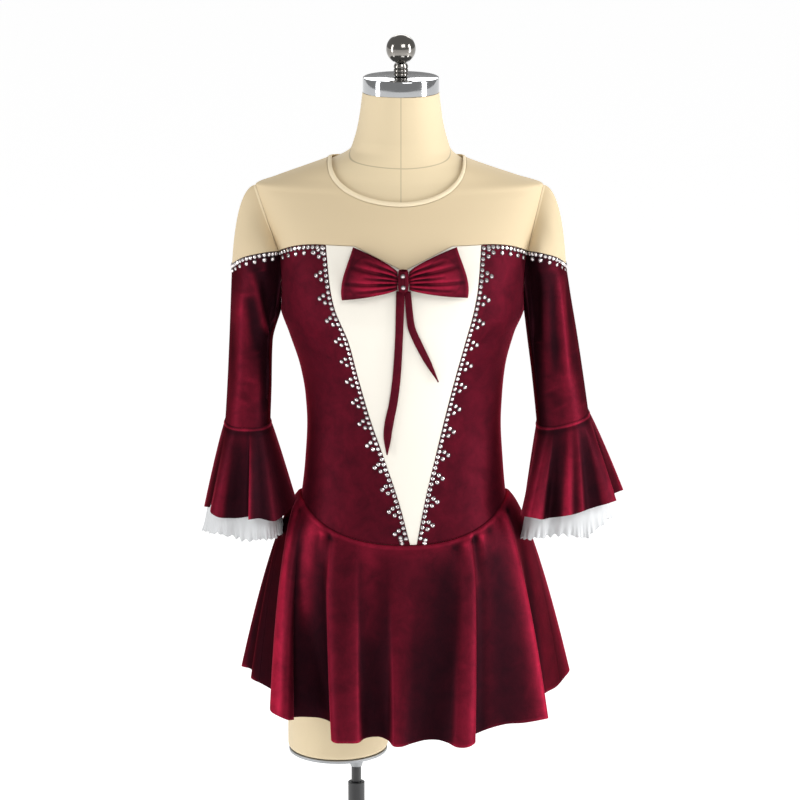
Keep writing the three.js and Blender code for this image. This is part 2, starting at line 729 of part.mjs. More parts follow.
// The net over the shoulder's end, between the armhole seam and the velvet's edge.
function sleeveCap(sleeve) {
  const curve = sleeveEdgeCurve(sleeve);
  const margin = 0.06;
  const armholeSeam = (u) => {
    const face = u < 0.5 ? -1 : 1;
    const v = 1 - Math.abs(1 - 2 * u);
    const share = mix(0.16, 1, v);
    const low = armholeCorner(sleeve.sign, face);
    const top = yokeTop(sleeve.sign, 1, face);
    return facePoint(mix(low.x, top.x, share), mix(low.z, top.z, share), face);
  };
  const pointAt = (u, v) => {
    const start = lifted(armholeSeam(u), YOKE_LIFT);
    start.x += sleeve.sign * CAP_GAP;
    const end = curve.getPoint(mix(margin, 1 - margin, u));
    end.z += 3 * SEAM;
    const control = new THREE.Vector3(
      mix(start.x, end.x, 0.8),
      mix(start.y, end.y, 0.5),
      mix(start.z, end.z, 0.05),
    );
    return new THREE.QuadraticBezierCurve3(start, control, end).getPoint(v);
  };
  return wallGeometry({
    columns: 14,
    rows: 5,
    thickness: MESH,
    outer: pointAt,
    outward: (u, v) => {
      const step = 0.02;
      const along = pointAt(Math.min(u + step, 1), v).sub(pointAt(Math.max(u - step, 0), v));
      const down = pointAt(u, Math.min(v + step, 1)).sub(pointAt(u, Math.max(v - step, 0)));
      const way = along.cross(down).multiplyScalar(-sleeve.sign);
      way.z *= 1 - v ** 2;
      return way;
    },
  });
}

// ---------------------------------------------------------------- flounces and skirt

// Hem point on its own oval, before the folds.
function hemPoint(hem, turn, reach) {
  const cos = Math.cos(radians(turn));
  const sin = Math.sin(radians(turn));
  const half = cos >= 0 ? hem.right : hem.left;
  const depth = sin >= 0 ? hem.front : hem.back;
  return new THREE.Vector2(hem.x + half * reach * cos, hem.y - depth * reach * sin);
}

// A bell cuff's outer face. Shares past 1 hang straight on below its hem.
function flounceShape(sleeve, flounce) {
  const shape = sleeveShape(sleeve);
  const folds = smoothFolds(flounce.folds);
  return (turn, share, inset, mostReach = 2) => {
    const start = shape.cuffPoint(radians(-turn));
    const centre = shape.centreAt(start.z);
    const fold = folds(turn);
    const even = hemPoint(flounce.hem, turn, 1);
    const folded = hemPoint(flounce.hem, turn, Math.min(fold.reach, mostReach));
    const flare = Math.min(share, 1) ** CUFF_FLARE;
    const growth = Math.min(share, 1);
    const x = mix(start.x, even.x, flare) + (folded.x - even.x) * growth;
    const y = mix(start.y, even.y, flare) + (folded.y - even.y) * growth;
    const middleX = mix(centre.x, flounce.hem.x, flare);
    const middleY = mix(centre.y, flounce.hem.y, flare);
    const away = new THREE.Vector2(x - middleX, y - middleY);
    away.setLength(Math.max(away.length() - inset, 1));
    const z = start.z - SEAM - FLOUNCE_LENGTH * share - fold.drop * Math.min(share, 1) ** 2;
    return new THREE.Vector3(middleX + away.x, middleY + away.y, z);
  };
}

// Level direction out of a surface that is given by its turn and its share of the way down.
function levelOutward(pointAt, turn, share) {
  const before = pointAt(turn - 1, share);
  const after = pointAt(turn + 1, share);
  const along = after.sub(before);
  return new THREE.Vector3(-along.y, along.x, 0).multiplyScalar(-1).normalize();
}

function flounceWall(sleeve, flounce) {
  const pointAt = flounceShape(sleeve, flounce);
  return wallGeometry({
    columns: 48,
    rows: 3,
    closed: true,
    thickness: VELVET,
    outer: (u, v) => pointAt(u * 360, v, 0),
    outward: (u, v) => levelOutward((turn, share) => pointAt(turn, share, 0), u * 360, v),
  });
}

// The white frill inside a bell cuff, with a fluted hem that shows below the velvet.
function frillWall(sleeve, flounce) {
  const pointAt = flounceShape(sleeve, flounce);
  const fluted = (turn, v) => {
    const wave = FRILL_WAVE_DEPTH * v ** 3 * Math.sin(radians(turn * FRILL_WAVES));
    const inset = VELVET + 0.6 + FRILL_INSET * Math.min(v * 3, 1) - wave;
    return pointAt(turn, (v * FRILL_LENGTH) / FLOUNCE_LENGTH, inset, FRILL_MOST_REACH);
  };
  return wallGeometry({
    columns: 56,
    rows: 3,
    closed: true,
    thickness: CHIFFON,
    outer: (u, v) => fluted(u * 360, v),
    outward: (u, v) => levelOutward(fluted, u * 360, v),
  });
}

const skirtFolds = smoothFolds(SKIRT_FOLDS);

function skirtPoint(turn, share) {
  const seam = bodyPoint(turn, skirtSeamZ(turn));
  const fold = skirtFolds(turn);
  const even = hemPoint(SKIRT_HEM, turn, 1);
  const folded = hemPoint(SKIRT_HEM, turn, fold.reach);
  const flare = share ** SKIRT_FLARE;
  return new THREE.Vector3(
    mix(seam.x, even.x, flare) + (folded.x - even.x) * share,
    mix(seam.y, even.y, flare) + (folded.y - even.y) * share,
    seam.z - SKIRT_GAP - SKIRT_LENGTH * share - fold.drop * share * share,
  );
}

function skirtWall(firstTurn, lastTurn) {
  return wallGeometry({
    columns: 50,
    rows: 5,
    thickness: VELVET,
    outer: (u, v) => skirtPoint(mix(firstTurn + SIDE_GAP, lastTurn - SIDE_GAP, u), v ** 1.15),
    outward: (u, v) => levelOutward(skirtPoint, mix(firstTurn, lastTurn, u), v ** 1.15),
  });
}

// ---------------------------------------------------------------- brief under the skirt

const BRIEF_SIDE_Z = 880;
const BRIEF_CENTRE_Z = 842;
const BRIEF_TOP_STEP = 4;

function briefWall() {
  return bodyWall(36, 2, (u, v) => {
    const turn = u * 360;
    const low = mix(BRIEF_SIDE_Z, BRIEF_CENTRE_Z, Math.sin(radians(turn)) ** 2);
    return bodyPoint(turn, mix(skirtSeamZ(turn) - BRIEF_TOP_STEP, low, v));
  }, 0, VELVET, true);
}

// ---------------------------------------------------------------- bow

// One loop: a band that runs out from the knot, turns at its end and comes back behind.
function bowLoop(sign) {
  const loop = sign < 0 ? BOW.left : BOW.right;
  const backY = (x, z) => facePoint(x, z, -1).y - BOW_LIFT;
  const pointAt = (u, v) => {
    const swing = u * Math.PI;
    const out = Math.sin(swing) ** 0.8;
    const reach = mix(loop.reachBottom, loop.reachTop, v ** 1.4);
    const x = BOW.x + sign * mix(BOW.knotHalf + SEAM, reach, out);
    const spread = out ** 0.8;
    const low = mix(BOW.knotBottom + 2, loop.bottom, spread);
    const high = mix(BOW.knotTop - 2, loop.top, spread);
    const z = mix(low, high, v);
    const fat = 0.35 + 0.65 * Math.sin(Math.PI * Math.min(out, 0.92)) ** 0.7;
    const puff = BOW.depth * fat * (0.75 + 0.25 * Math.sin(Math.PI * v));
    const middle = Math.max(puff, mix(BOW.knotMiddle, BOW.depth * 0.6, out));
    const forward = puff * signedPower(Math.cos(swing), BOW_END_ROUNDING);
    return new THREE.Vector3(x, backY(x, z) - middle - forward, z);
  };
  return wallGeometry({
    columns: 14,
    rows: 6,
    thickness: BOW_WALL,
    outer: pointAt,
    outward: (u, v) => {
      const along = pointAt(Math.min(u + 0.02, 1), v).sub(pointAt(Math.max(u - 0.02, 0), v));
      return new THREE.Vector3(-along.y, along.x, 0).multiplyScalar(-sign);
    },
  });
}

const KNOT_DEPTH = 10.2;

function bowKnot() {
  const rings = [];
  const steps = 4;
  for (let j = 0; j <= steps; j += 1) {
    const share = j / steps;
    const z = mix(BOW.knotBottom, BOW.knotTop, share);
    const swell = 0.72 + 0.28 * Math.sin(Math.PI * share);
    const back = facePoint(BOW.x, z, -1).y - BOW_LIFT;
    const ring = [];
    for (let i = 0; i < 12; i += 1) {
      const angle = (i / 12) * Math.PI * 2;
      ring.push(
        new THREE.Vector3(
          BOW.x + BOW.knotHalf * swell * Math.cos(angle),
          back - BOW.knotMiddle + KNOT_DEPTH * swell * Math.sin(angle),
          z,
        ),
      );
    }
    rings.push(ring);
  }
  return ringSolid(rings);
}

function bowTail(rows) {
  const downwards = [...rows].reverse();
  const at = smoothTable(downwards, 'z', ['x', 'width']);
  const top = rows[0].z;
  const bottom = rows[rows.length - 1].z;
  const place = (u, v) => {
    const z = mix(top, bottom, v);
    const row = at(z);
    return facePoint(row.x + (u - 0.5) * row.width, z, -1);
  };
  return bodyWall(2, 10, place, TAIL_LIFT + TAIL_THICKNESS, TAIL_THICKNESS);
}

// ---------------------------------------------------------------- dress form and stand

const FORM_COLUMNS = 36;

// How far the form lies inside the dress's outer face. Its neck is bare, so there it is nothing.
const FORM_INSET = [
  { z: 780, inset: 3.6 },
  { z: 960, inset: 3.1 },
  { z: 1050, inset: 2.9 },
  { z: 1130, inset: 3.6 },
  { z: 1190, inset: 6 },
  { z: 1300, inset: 5 },
  { z: 1360, inset: 6.4 },
  { z: 1385, inset: 7.6 },
  { z: 1400, inset: 7 },
  { z: 1411, inset: 4.4 },
  { z: 1430, inset: 0 },
];

function formTorso() {
  const insetAt = smoothColumn(FORM_INSET, 'z', 'inset');
  const heights = [
    792, 825, 870, 921, 962, 1011, 1059, 1095, 1131, 1170, 1205, 1240, 1275, 1310, 1342,
    1360, 1370, 1376, 1383, 1390, 1397, 1403, 1408, 1413, 1420, 1435, 1500,
  ];
  const rings = heights.map((z) => {
    const ring = [];
    for (let i = 0; i < FORM_COLUMNS; i += 1) {
      ring.push(lifted(bodyPoint((i / FORM_COLUMNS) * 360, z), -insetAt(z)));
    }
    return ring;
  });
  const flat = (ring, z) => ring.map((point) => new THREE.Vector3(point.x, point.y, z));
  rings[0] = flat(rings[0], heights[0]);
  rings[rings.length - 1] = flat(rings[rings.length - 1], NECK_TOP);
  return ringSolid(rings);
}

function thigh({ x, y, width, depth, bottom, bottomShare }) {
  const rings = [];
  [bottom, mix(bottom, THIGH_TOP, 0.5), THIGH_TOP].forEach((z, index) => {
    const share = index === 0 ? bottomShare : 1;
    const ring = [];
    for (let i = 0; i < THIGH_SIDES; i += 1) {
      const angle = (i / THIGH_SIDES) * Math.PI * 2;
      ring.push(
        new THREE.Vector3(
          x + width * share * Math.cos(angle),
          y + depth * share * Math.sin(angle),
          z,
        ),
      );
    }
    rings.push(ring);
  });
  return ringSolid(rings);
}

function dressForm() {
  const torso = toManifold(formTorso());
  const whole = THIGHS.reduce((solid, row) => solid.add(toManifold(thigh(row))), torso);
  return fromManifold(whole);
}

function turned(profile, sides) {
  const geometry = new THREE.LatheGeometry(
    profile.map(([radius, height]) => new THREE.Vector2(radius, height)),
    sides,
  );
  geometry.rotateX(Math.PI / 2);
  return mergeVertices(geometry.deleteAttribute('normal').deleteAttribute('uv'), 1e-4);
}

function disc(radius, low, high, sides) {
  return turned([[0, low], [radius, low], [radius, high], [0, high]], sides);
}

function bottomPlate() {
  const long = THIGHS[0];
  const plate = turned(
    [[0, 0], [1, 0], [1, PLATE_THICKNESS], [0, PLATE_THICKNESS]],
    THIGH_SIDES,
  );
  plate.scale(long.width * 0.985, long.depth * 0.985, 1);
  plate.translate(long.x, long.y, STUB_BOTTOM - SEAM - PLATE_THICKNESS);
  return plate;
}

function ballFinial() {
  const centre = BALL.top - BALL.radius;
  const profile = [];
  const steps = 8;
  for (let i = 0; i <= steps; i += 1) {
    const angle = mix(-Math.PI / 2, Math.PI / 2, i / steps);
    profile.push([Math.cos(angle) * BALL.radius, centre + Math.sin(angle) * BALL.radius]);
  }
  profile[0][0] = 0;
  profile[steps][0] = 0;
  return turned(profile, 20);
}

function finialStem(low, high) {
  const profile = [[0, low]];
  const beads = 3;
  for (let i = 0; i < beads; i += 1) {
    const start = mix(low, high, i / beads);
    const end = mix(low, high, (i + 1) / beads);
    profile.push([STEM.radius, start + (i === 0 ? 0 : 0.4)]);
    profile.push([STEM.bead, mix(start, end, 0.5)]);
  }
  profile.push([STEM.radius, high]);
  profile.push([0, high]);
  return turned(profile, 16);
}

// ---------------------------------------------------------------- assembly

function buildDress() {
  const dress = new THREE.Group();
  const { left, right } = SLEEVES;
  dress.add(
    piece('yoke_front', yoke(-1), nudeNet),
    piece('yoke_back', yoke(1), nudeNet),
    piece('neck_binding', neckBinding(), nudeNet),
    piece('sleeve_cap_left', sleeveCap(left), nudeNet),
    piece('sleeve_cap_right', sleeveCap(right), nudeNet),
    piece('bodice_front_left', bodiceFront(-1), velvet),
    piece('bodice_front_right', bodiceFront(1), velvet),
    piece('bodice_back', bodiceBack(), velvet),
    piece('v_panel', vPanel(), ivoryKnit),
    piece('sleeve_left', sleeveWall(left), velvet),
    piece('sleeve_right', sleeveWall(right), velvet),
    piece('cuff_flounce_left', flounceWall(left, LEFT_FLOUNCE), velvet),
    piece('cuff_flounce_right', flounceWall(right, RIGHT_FLOUNCE), velvet),
    piece('cuff_frill_left', frillWall(left, LEFT_FLOUNCE), whiteChiffon),
    piece('cuff_frill_right', frillWall(right, RIGHT_FLOUNCE), whiteChiffon),
    piece('skirt_front', skirtWall(0, 180), velvet),
    piece('skirt_back', skirtWall(180, 360), velvet),
    piece('brief', briefWall(), velvet),
    piece('bow_loop_left', bowLoop(-1), velvet),
    piece('bow_loop_right', bowLoop(1), velvet),
    piece('bow_knot', bowKnot(), velvet),
    piece('bow_tail_left', bowTail(TAILS.left), velvet),
    piece('bow_tail_right', bowTail(TAILS.right), velvet),
  );
  return dress;
}

function buildForm() {
  const form = new THREE.Group();
  const capLow = NECK_TOP + SEAM;
  const capTop = capLow + CAP.height;
  const stemLow = capTop + SEAM;
  const ballLow = BALL.top - 2 * BALL.radius;
  const neckCap = turned([[0, capLow], [CAP.radius, capLow], [CAP.radius, capTop - 2],
    [CAP.radius - 2, capTop], [0, capTop]], 36);
  const hardware = new THREE.Group();
  hardware.position.x = NECK_CENTRE_X;
  hardware.add(
    piece('neck_cap', neckCap, chrome),
    piece('finial_stem', finialStem(stemLow, ballLow - SEAM), chrome),
    piece('finial_ball', ballFinial(), chrome),
  );
  form.add(
    piece('form_torso', dressForm(), formCover),
    piece('form_bottom_plate', bottomPlate(), greySteel),
    hardware,
  );
  return form;
}

function buildStand() {
  const stand = new THREE.Group();
  const base = turned([[0, 0], [BASE_RADIUS, 0], [BASE_RADIUS, BASE_EDGE],
    [BASE_RADIUS - 6, BASE_EDGE + 3], [HUB.radius + 8, BASE_CROWN], [0, BASE_CROWN]], 40);
  const hubLow = BASE_CROWN + SEAM;
  const hubTop = hubLow + HUB.height;
  const hub = turned([[0, hubLow], [HUB.radius, hubLow], [HUB.radius, hubLow + 12],
    [TUBE.radius + 5, hubTop - 4], [TUBE.radius + 5, hubTop], [0, hubTop]], 20);
  const socket = turned([[0, SOCKET.low + SEAM], [SOCKET.lowRadius, SOCKET.low + SEAM],
    [SOCKET.highRadius, SOCKET.high - 8], [SOCKET.highRadius, SOCKET.high], [0, SOCKET.high]], 24);
  stand.add(
    piece('stand_base', base, blackSteel),
    piece('stand_hub', hub, blackSteel),
    piece('stand_tube', disc(TUBE.radius, hubTop + SEAM, TUBE.top, 20), blackSteel),
    piece('stand_rod', disc(ROD.radius, TUBE.top + SEAM, ROD.top, 16), blackSteel),
    piece('stand_socket', socket, greySteel),
  );
  return stand;
}

const part = new THREE.Group();
const worn = new THREE.Group();
worn.position.x = TORSO_OFFSET;
worn.add(buildDress(), buildForm());
part.add(worn, buildStand());

export default part;
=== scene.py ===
import bpy
import math
import numpy as np
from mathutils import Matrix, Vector


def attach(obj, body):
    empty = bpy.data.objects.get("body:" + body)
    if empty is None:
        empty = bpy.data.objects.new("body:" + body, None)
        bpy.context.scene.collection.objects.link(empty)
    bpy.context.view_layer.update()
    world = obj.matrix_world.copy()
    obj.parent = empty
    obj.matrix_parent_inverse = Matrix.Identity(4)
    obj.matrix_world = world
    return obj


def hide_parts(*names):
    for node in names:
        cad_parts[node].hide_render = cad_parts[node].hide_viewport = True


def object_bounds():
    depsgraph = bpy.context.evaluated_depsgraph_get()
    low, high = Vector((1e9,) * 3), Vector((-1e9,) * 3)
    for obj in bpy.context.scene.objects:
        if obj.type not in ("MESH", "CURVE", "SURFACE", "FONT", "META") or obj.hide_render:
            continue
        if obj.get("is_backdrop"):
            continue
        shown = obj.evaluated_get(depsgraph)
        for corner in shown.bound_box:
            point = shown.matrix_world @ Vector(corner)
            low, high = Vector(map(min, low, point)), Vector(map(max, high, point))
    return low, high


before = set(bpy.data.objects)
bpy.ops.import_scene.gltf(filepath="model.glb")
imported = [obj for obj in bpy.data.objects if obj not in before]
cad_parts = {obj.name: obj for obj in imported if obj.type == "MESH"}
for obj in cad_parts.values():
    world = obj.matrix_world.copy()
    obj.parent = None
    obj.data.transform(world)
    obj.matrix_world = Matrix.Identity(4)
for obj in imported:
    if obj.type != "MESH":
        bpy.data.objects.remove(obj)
low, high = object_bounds()


# ---------------------------------------------------------------- studio floor, lights and camera
# A pale matt floor reaches far past the frame. Large soft lights stand in front, at both sides and
# above, as round a product table, and a long lens looks down a little from in front.
bpy.context.scene.view_settings.view_transform = "Standard"
bpy.context.scene.view_settings.look = "None"


def feed(target, inputs):
    """Sets a node's inputs, each to a value or to the output of another node."""
    for key, item in inputs.items():
        if isinstance(item, bpy.types.NodeSocket):
            target.id_data.links.new(item, target.inputs[key])
        else:
            target.inputs[key].default_value = item
    return target


def finish(name, color, roughness, metallic=0.0):
    """A plain finish; its shader comes back too, for what is woven or worn on it."""
    material = bpy.data.materials.new(name)
    material.use_nodes = True
    shader = material.node_tree.nodes["Principled BSDF"]
    feed(shader, {"Base Color": (*color, 1), "Roughness": roughness, "Metallic": metallic})
    return material, shader


bpy.ops.object.select_all(action="DESELECT")
bpy.ops.mesh.primitive_plane_add(size=90, location=(0, 0, -0.0005))
studio_floor = bpy.context.object
studio_floor.name = "studio_floor"
floor_paint, shader = finish("studio_floor_paint", (0.62, 0.62, 0.62), 0.9)
feed(shader, {"Emission Color": (1, 1, 1, 1), "Emission Strength": 0.78})
studio_floor.data.materials.append(floor_paint)
studio_floor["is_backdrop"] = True

sky = bpy.data.worlds.new("studio_sky")
bpy.context.scene.world = sky
sky.use_nodes = True
feed(sky.node_tree.nodes["Background"], {"Color": (1, 1, 1, 1), "Strength": 0.32})

LIT_POINT = Vector((0.06, 0, 1.1))
for name, place, size, power in [
    ("front_softbox", (1.3, -3.4, 3.6), (2.0, 1.6), 48),
    ("left_softbox", (-3.0, -0.9, 1.7), (0.7, 2.6), 42),
    ("right_softbox", (2.9, -0.8, 1.7), (0.7, 2.6), 70),
    ("back_softbox", (0.3, 3.2, 3.0), (2.8, 1.6), 40),
]:
    bpy.ops.object.light_add(type="AREA", location=place)
    lamp = bpy.context.object
    lamp.name = name
    lamp.data.shape = "RECTANGLE"
    lamp.data.size, lamp.data.size_y = size
    lamp.data.energy = power
    lamp.rotation_euler = (LIT_POINT - Vector(place)).to_track_quat("-Z", "Y").to_euler()

VIEWED_POINT = Vector((0.0578, 0, 1.086))
bpy.ops.object.camera_add(location=(0.0578, -5.8555, 2.3948))
camera = bpy.context.object
camera.data.lens = 207.7
camera.data.sensor_width = 36
camera.rotation_euler = (VIEWED_POINT - camera.location).to_track_quat("-Z", "Y").to_euler()
bpy.context.scene.camera = camera


# ---------------------------------------------------------------- round base and pole of the stand
# Pressed steel plate with a turned hub, a tube and a thinner rod that slides in it, all painted
# black. The pole is screwed into the hub and the rod is held by friction.
def turned_piece(name, x, rings, sides, angle=35):
    """Turns a solid as on a lathe: a disc is drawn up ring by ring, each (radius, height) in mm."""
    bpy.ops.object.select_all(action="DESELECT")
    radius, height = rings[0]
    bpy.ops.mesh.primitive_circle_add(
        vertices=sides, radius=radius / 1000, fill_type="NGON", location=(x, 0, height / 1000))
    piece = bpy.context.object
    piece.name = name
    bpy.ops.object.transform_apply(location=True, rotation=True, scale=True)
    bpy.ops.object.mode_set(mode="EDIT")
    bpy.ops.mesh.select_mode(type="FACE")
    bpy.ops.mesh.select_all(action="SELECT")
    for next_radius, next_height in rings[1:]:
        rise = (next_height - height) / 1000
        bpy.ops.mesh.extrude_region_move(TRANSFORM_OT_translate={"value": (0, 0, rise)})
        share = next_radius / radius
        bpy.ops.transform.resize(
            value=(share, share, 1), center_override=(x, 0, next_height / 1000))
        radius, height = next_radius, next_height
    bpy.ops.mesh.select_all(action="SELECT")
    bpy.ops.mesh.normals_make_consistent(inside=False)
    bpy.ops.object.mode_set(mode="OBJECT")
    bpy.ops.object.shade_smooth_by_angle(angle=math.radians(angle))
    return piece


def node(shader, kind, inputs, **settings):
    """Adds a node beside a shader, with its settings and its inputs."""
    made = shader.id_data.nodes.new("ShaderNode" + kind)
    for key, value in settings.items():
        setattr(made, key, value)
    return feed(made, inputs)


def rough_paint(shader, low_roughness, high_roughness, scale):
    """Small changes of gloss, as paint, plating and handling leave them."""
    place = node(shader, "TexCoord", {}).outputs["Object"]
    noise = node(shader, "TexNoise", {"Vector": place, "Scale": scale, "Detail": 4})
    span = node(shader, "MapRange", {"Value": noise.outputs["Fac"], "From Min": 0.3, "From Max": 0.7,
                                     "To Min": low_roughness, "To Max": high_roughness})
    feed(shader, {"Roughness": span.outputs["Result"]})


def stand_for(piece, material, cad_node):
    """Gives a finished piece its material and its record, in place of one solid."""
    piece.data.materials.append(material)
    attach(piece, "root")
    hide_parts(cad_node)


black_paint, shader = finish("black_steel_paint", (0.012, 0.012, 0.013), 0.4)
feed(shader, {"Coat Weight": 0.3})
rough_paint(shader, 0.32, 0.5, 60)

stand_parts = [
    ("stand_base", [(219.5, 0), (220, 0.6), (220, 7), (218, 9.2), (214, 11), (120, 15.2), (34, 18),
                    (10, 18)], 128),
    ("stand_hub", [(24, 18.3), (24, 29), (23, 31), (18, 50), (16, 58), (16, 63.6), (15.3, 64.3),
                   (11.2, 64.3)], 64),
    ("stand_tube", [(11, 64.6), (11, 568.3), (10.3, 569), (7, 569)], 48),
    ("stand_rod", [(6.5, 569.3), (6.5, 590)], 40),
]
for name, rings, sides in stand_parts:
    stand_for(turned_piece(name + "_turned", 0, rings, sides), black_paint, name)


# ---------------------------------------------------------------- socket and plate under the form
# A turned grey socket is screwed to the plate that closes the long thigh, and takes the rod. The
# plate is sheet steel cut to the thigh's oval.
def pick(piece):
    bpy.ops.object.select_all(action="DESELECT")
    piece.select_set(True)
    bpy.context.view_layer.objects.active = piece


THIGH_X = -0.024                    # the long thigh's middle, in m
THIGH_HALF, THIGH_DEEP = 66, 74     # half its width and depth, in mm
grey_steel, shader = finish("grey_steel", (0.36, 0.37, 0.38), 0.35, 0.85)
rough_paint(shader, 0.28, 0.48, 90)
socket = turned_piece("stand_socket_turned", 0, [(7.2, 590.3), (7.6, 590.8), (9.2, 597), (12.8, 603.6),
                                                 (13, 604.4), (13, 611.4), (12.6, 612)], 48)
plate = turned_piece("form_bottom_plate_cut", THIGH_X, [(64.2, 612.7), (64.8, 613.2), (64.8, 616.2),
                                                        (64.2, 616.7)], 96)
pick(plate)
bpy.ops.object.mode_set(mode="EDIT")
bpy.ops.mesh.select_all(action="SELECT")
bpy.ops.transform.resize(value=(1, THIGH_DEEP / THIGH_HALF, 1), center_override=(THIGH_X, 0, 0.615))
bpy.ops.transform.translate(value=(0, 0.006, 0))
bpy.ops.object.mode_set(mode="OBJECT")
stand_for(socket, grey_steel, "stand_socket")
stand_for(plate, grey_steel, "form_bottom_plate")


# ---------------------------------------------------------------- covered body of the dress form
# Hard foam body with a long thigh at the left and a short one at the right, covered with a smooth
# cream jersey that is seamed down the centre and round the neck's base and drawn tight.
TORSO_X = 63            # the torso's middle stands beside the pole's, in mm
BODY_ROWS = np.array([
    # height, half width left, right, half depth front, back, squareness
    (780, 140, 140, 84, 108, 2.2), (820, 149, 148, 96, 120, 2.3), (870, 151, 150, 102, 122, 2.3),
    (921, 144, 143, 103, 116, 2.25), (962, 134, 133, 99, 106, 2.2), (1011, 128.5, 128.5, 92, 94, 2.2),
    (1059, 126, 126, 88, 87, 2.2), (1095, 128, 127.5, 92, 86, 2.2), (1131, 134, 131, 101, 88, 2.2),
    (1179, 149, 143, 116, 93, 2.3), (1212, 160, 156, 123, 96, 2.35), (1250, 164, 160, 121, 98, 2.4),
    (1290, 169, 166, 108, 97, 2.3), (1330, 181, 172, 90, 92, 2), (1358, 188, 176, 74, 85, 1.75),
    (1370, 190, 178, 68, 80, 1.6), (1381, 164, 147, 63, 74, 1.6), (1393, 130, 110, 60, 69, 1.7),
    (1402, 104, 84, 58, 65, 1.85), (1407, 91, 74, 57, 62, 1.95), (1413, 77, 65, 56.5, 60, 2),
    (1419, 69, 60, 56, 58, 2), (1450, 59, 50.5, 52, 53, 2), (1500, 52, 44, 48, 48, 2),
])


def eased(at, value):
    """A smooth curve through a column of sizes that never overshoots between them."""
    at = np.asarray(at, float)
    value = np.asarray(value, float)
    slope = np.diff(value) / np.diff(at)
    product = slope[:-1] * slope[1:]
    total = np.where(product > 0, slope[:-1] + slope[1:], 1)
    inner = np.where(product > 0, 2 * product / total, 0)
    tangent = np.concatenate([slope[:1], inner, slope[-1:]])

    def curve(place):
        place = np.clip(place, at[0], at[-1])
        i = np.clip(np.searchsorted(at, place, side="left") - 1, 0, len(at) - 2)
        span = at[i + 1] - at[i]
        t = (place - at[i]) / span
        rise = t * t * (3 - 2 * t)
        bend = span * t * (1 - t) * (tangent[i] * (1 - t) - tangent[i + 1] * t)
        return value[i] + (value[i + 1] - value[i]) * rise + bend

    return curve


body_sizes = [eased(BODY_ROWS[:, 0], BODY_ROWS[:, k]) for k in range(1, 6)]


def mix(start, end, share):
    return start + (end - start) * share


def body_at(x, y, z):
    left, right, front, back, power = (size(z) for size in body_sizes)
    return np.where(x >= 0, right, left), np.where(y <= 0, front, back), power


def body_point(turn, z):
    """Point of the dressed body; turn 0 is the viewer's right, 90 the front, 180 the left."""
    turn, z = np.broadcast_arrays(np.asarray(turn, float), np.asarray(z, float))
    cos, sin = np.cos(np.radians(turn)), np.sin(np.radians(turn))
    half, depth, power = body_at(cos, -sin, z)
    x = half * np.sign(cos) * np.abs(cos) ** (2 / power)
    y = -depth * np.sign(sin) * np.abs(sin) ** (2 / power)
    return np.stack([x, y, z], -1)


def face_point(x, z, face):
    """Point of the front (-1) or back (1) by its place across and its height."""
    x, z = np.broadcast_arrays(np.asarray(x, float), np.asarray(z, float))
    half, depth, power = body_at(x, face * np.ones_like(x), z)
    share = np.minimum(np.abs(x) / half, 1)
    return np.stack([x, face * depth * (1 - share ** power) ** (1 / power), z], -1)


def body_normal(point):
    def fullness(x, y, z):
        half, depth, power = body_at(x, y, z)
        return (np.abs(x) / half) ** power + (np.abs(y) / depth) ** power

    x, y, z = point[..., 0], point[..., 1], point[..., 2]
    step = 0.4
    way = np.stack([
        fullness(x + step, y, z) - fullness(x - step, y, z),
        fullness(x, y + step, z) - fullness(x, y - step, z),
        fullness(x, y, z + step) - fullness(x, y, z - step)], -1)
    return way / np.linalg.norm(way, axis=-1, keepdims=True)


def lifted(point, lift):
    return point + body_normal(point) * np.asarray(lift)[..., None]


def standing_out(grid, facing, reach):
    """How far each point stands out of the cloth beside it, in mm: over 0 on a fold's ridge."""
    before, after = grid[:, 1:reach * 3 + 1][:, ::-1], grid[:, -reach * 3 - 1:-1][:, ::-1]
    wide = np.concatenate([2 * grid[:, :1] - before, grid, 2 * grid[:, -1:] - after], axis=1)
    steps = np.arange(reach * 6 + 1)
    weights = np.exp(-((steps / reach - 3) ** 2) / 2)
    level = sum(weight * wide[:, step:step + grid.shape[1]] for step, weight in zip(steps, weights))
    return ((grid - level / weights.sum()) * facing).sum(-1)


def fold_shade(grid, wrap, away, reach, swell, lean=0):
    """Painted shade (-1) in a fold's bottom and painted highlight (1) on its ridge and rolled seams;
    lean adds more of either, by its sign.
    """
    ring = np.concatenate([grid, grid, grid], axis=1) if wrap else grid
    facing = np.cross(np.gradient(ring, axis=1), np.gradient(ring, axis=0))
    facing /= np.maximum(np.linalg.norm(facing, axis=-1, keepdims=True), 1e-9)
    facing *= np.sign(((ring[..., :2] - np.asarray(away)) * facing[..., :2]).sum())
    broad = standing_out(ring, facing, reach)
    broad -= broad.mean(axis=1, keepdims=True)
    seam = standing_out(ring.swapaxes(0, 1), facing.swapaxes(0, 1), 2).T
    shade = np.tanh(broad / swell) + np.clip(seam / 0.35, -0.3, 1)
    across = grid.shape[1]
    return np.clip((shade[:, across:2 * across] if wrap else shade) + lean, -1, 1)


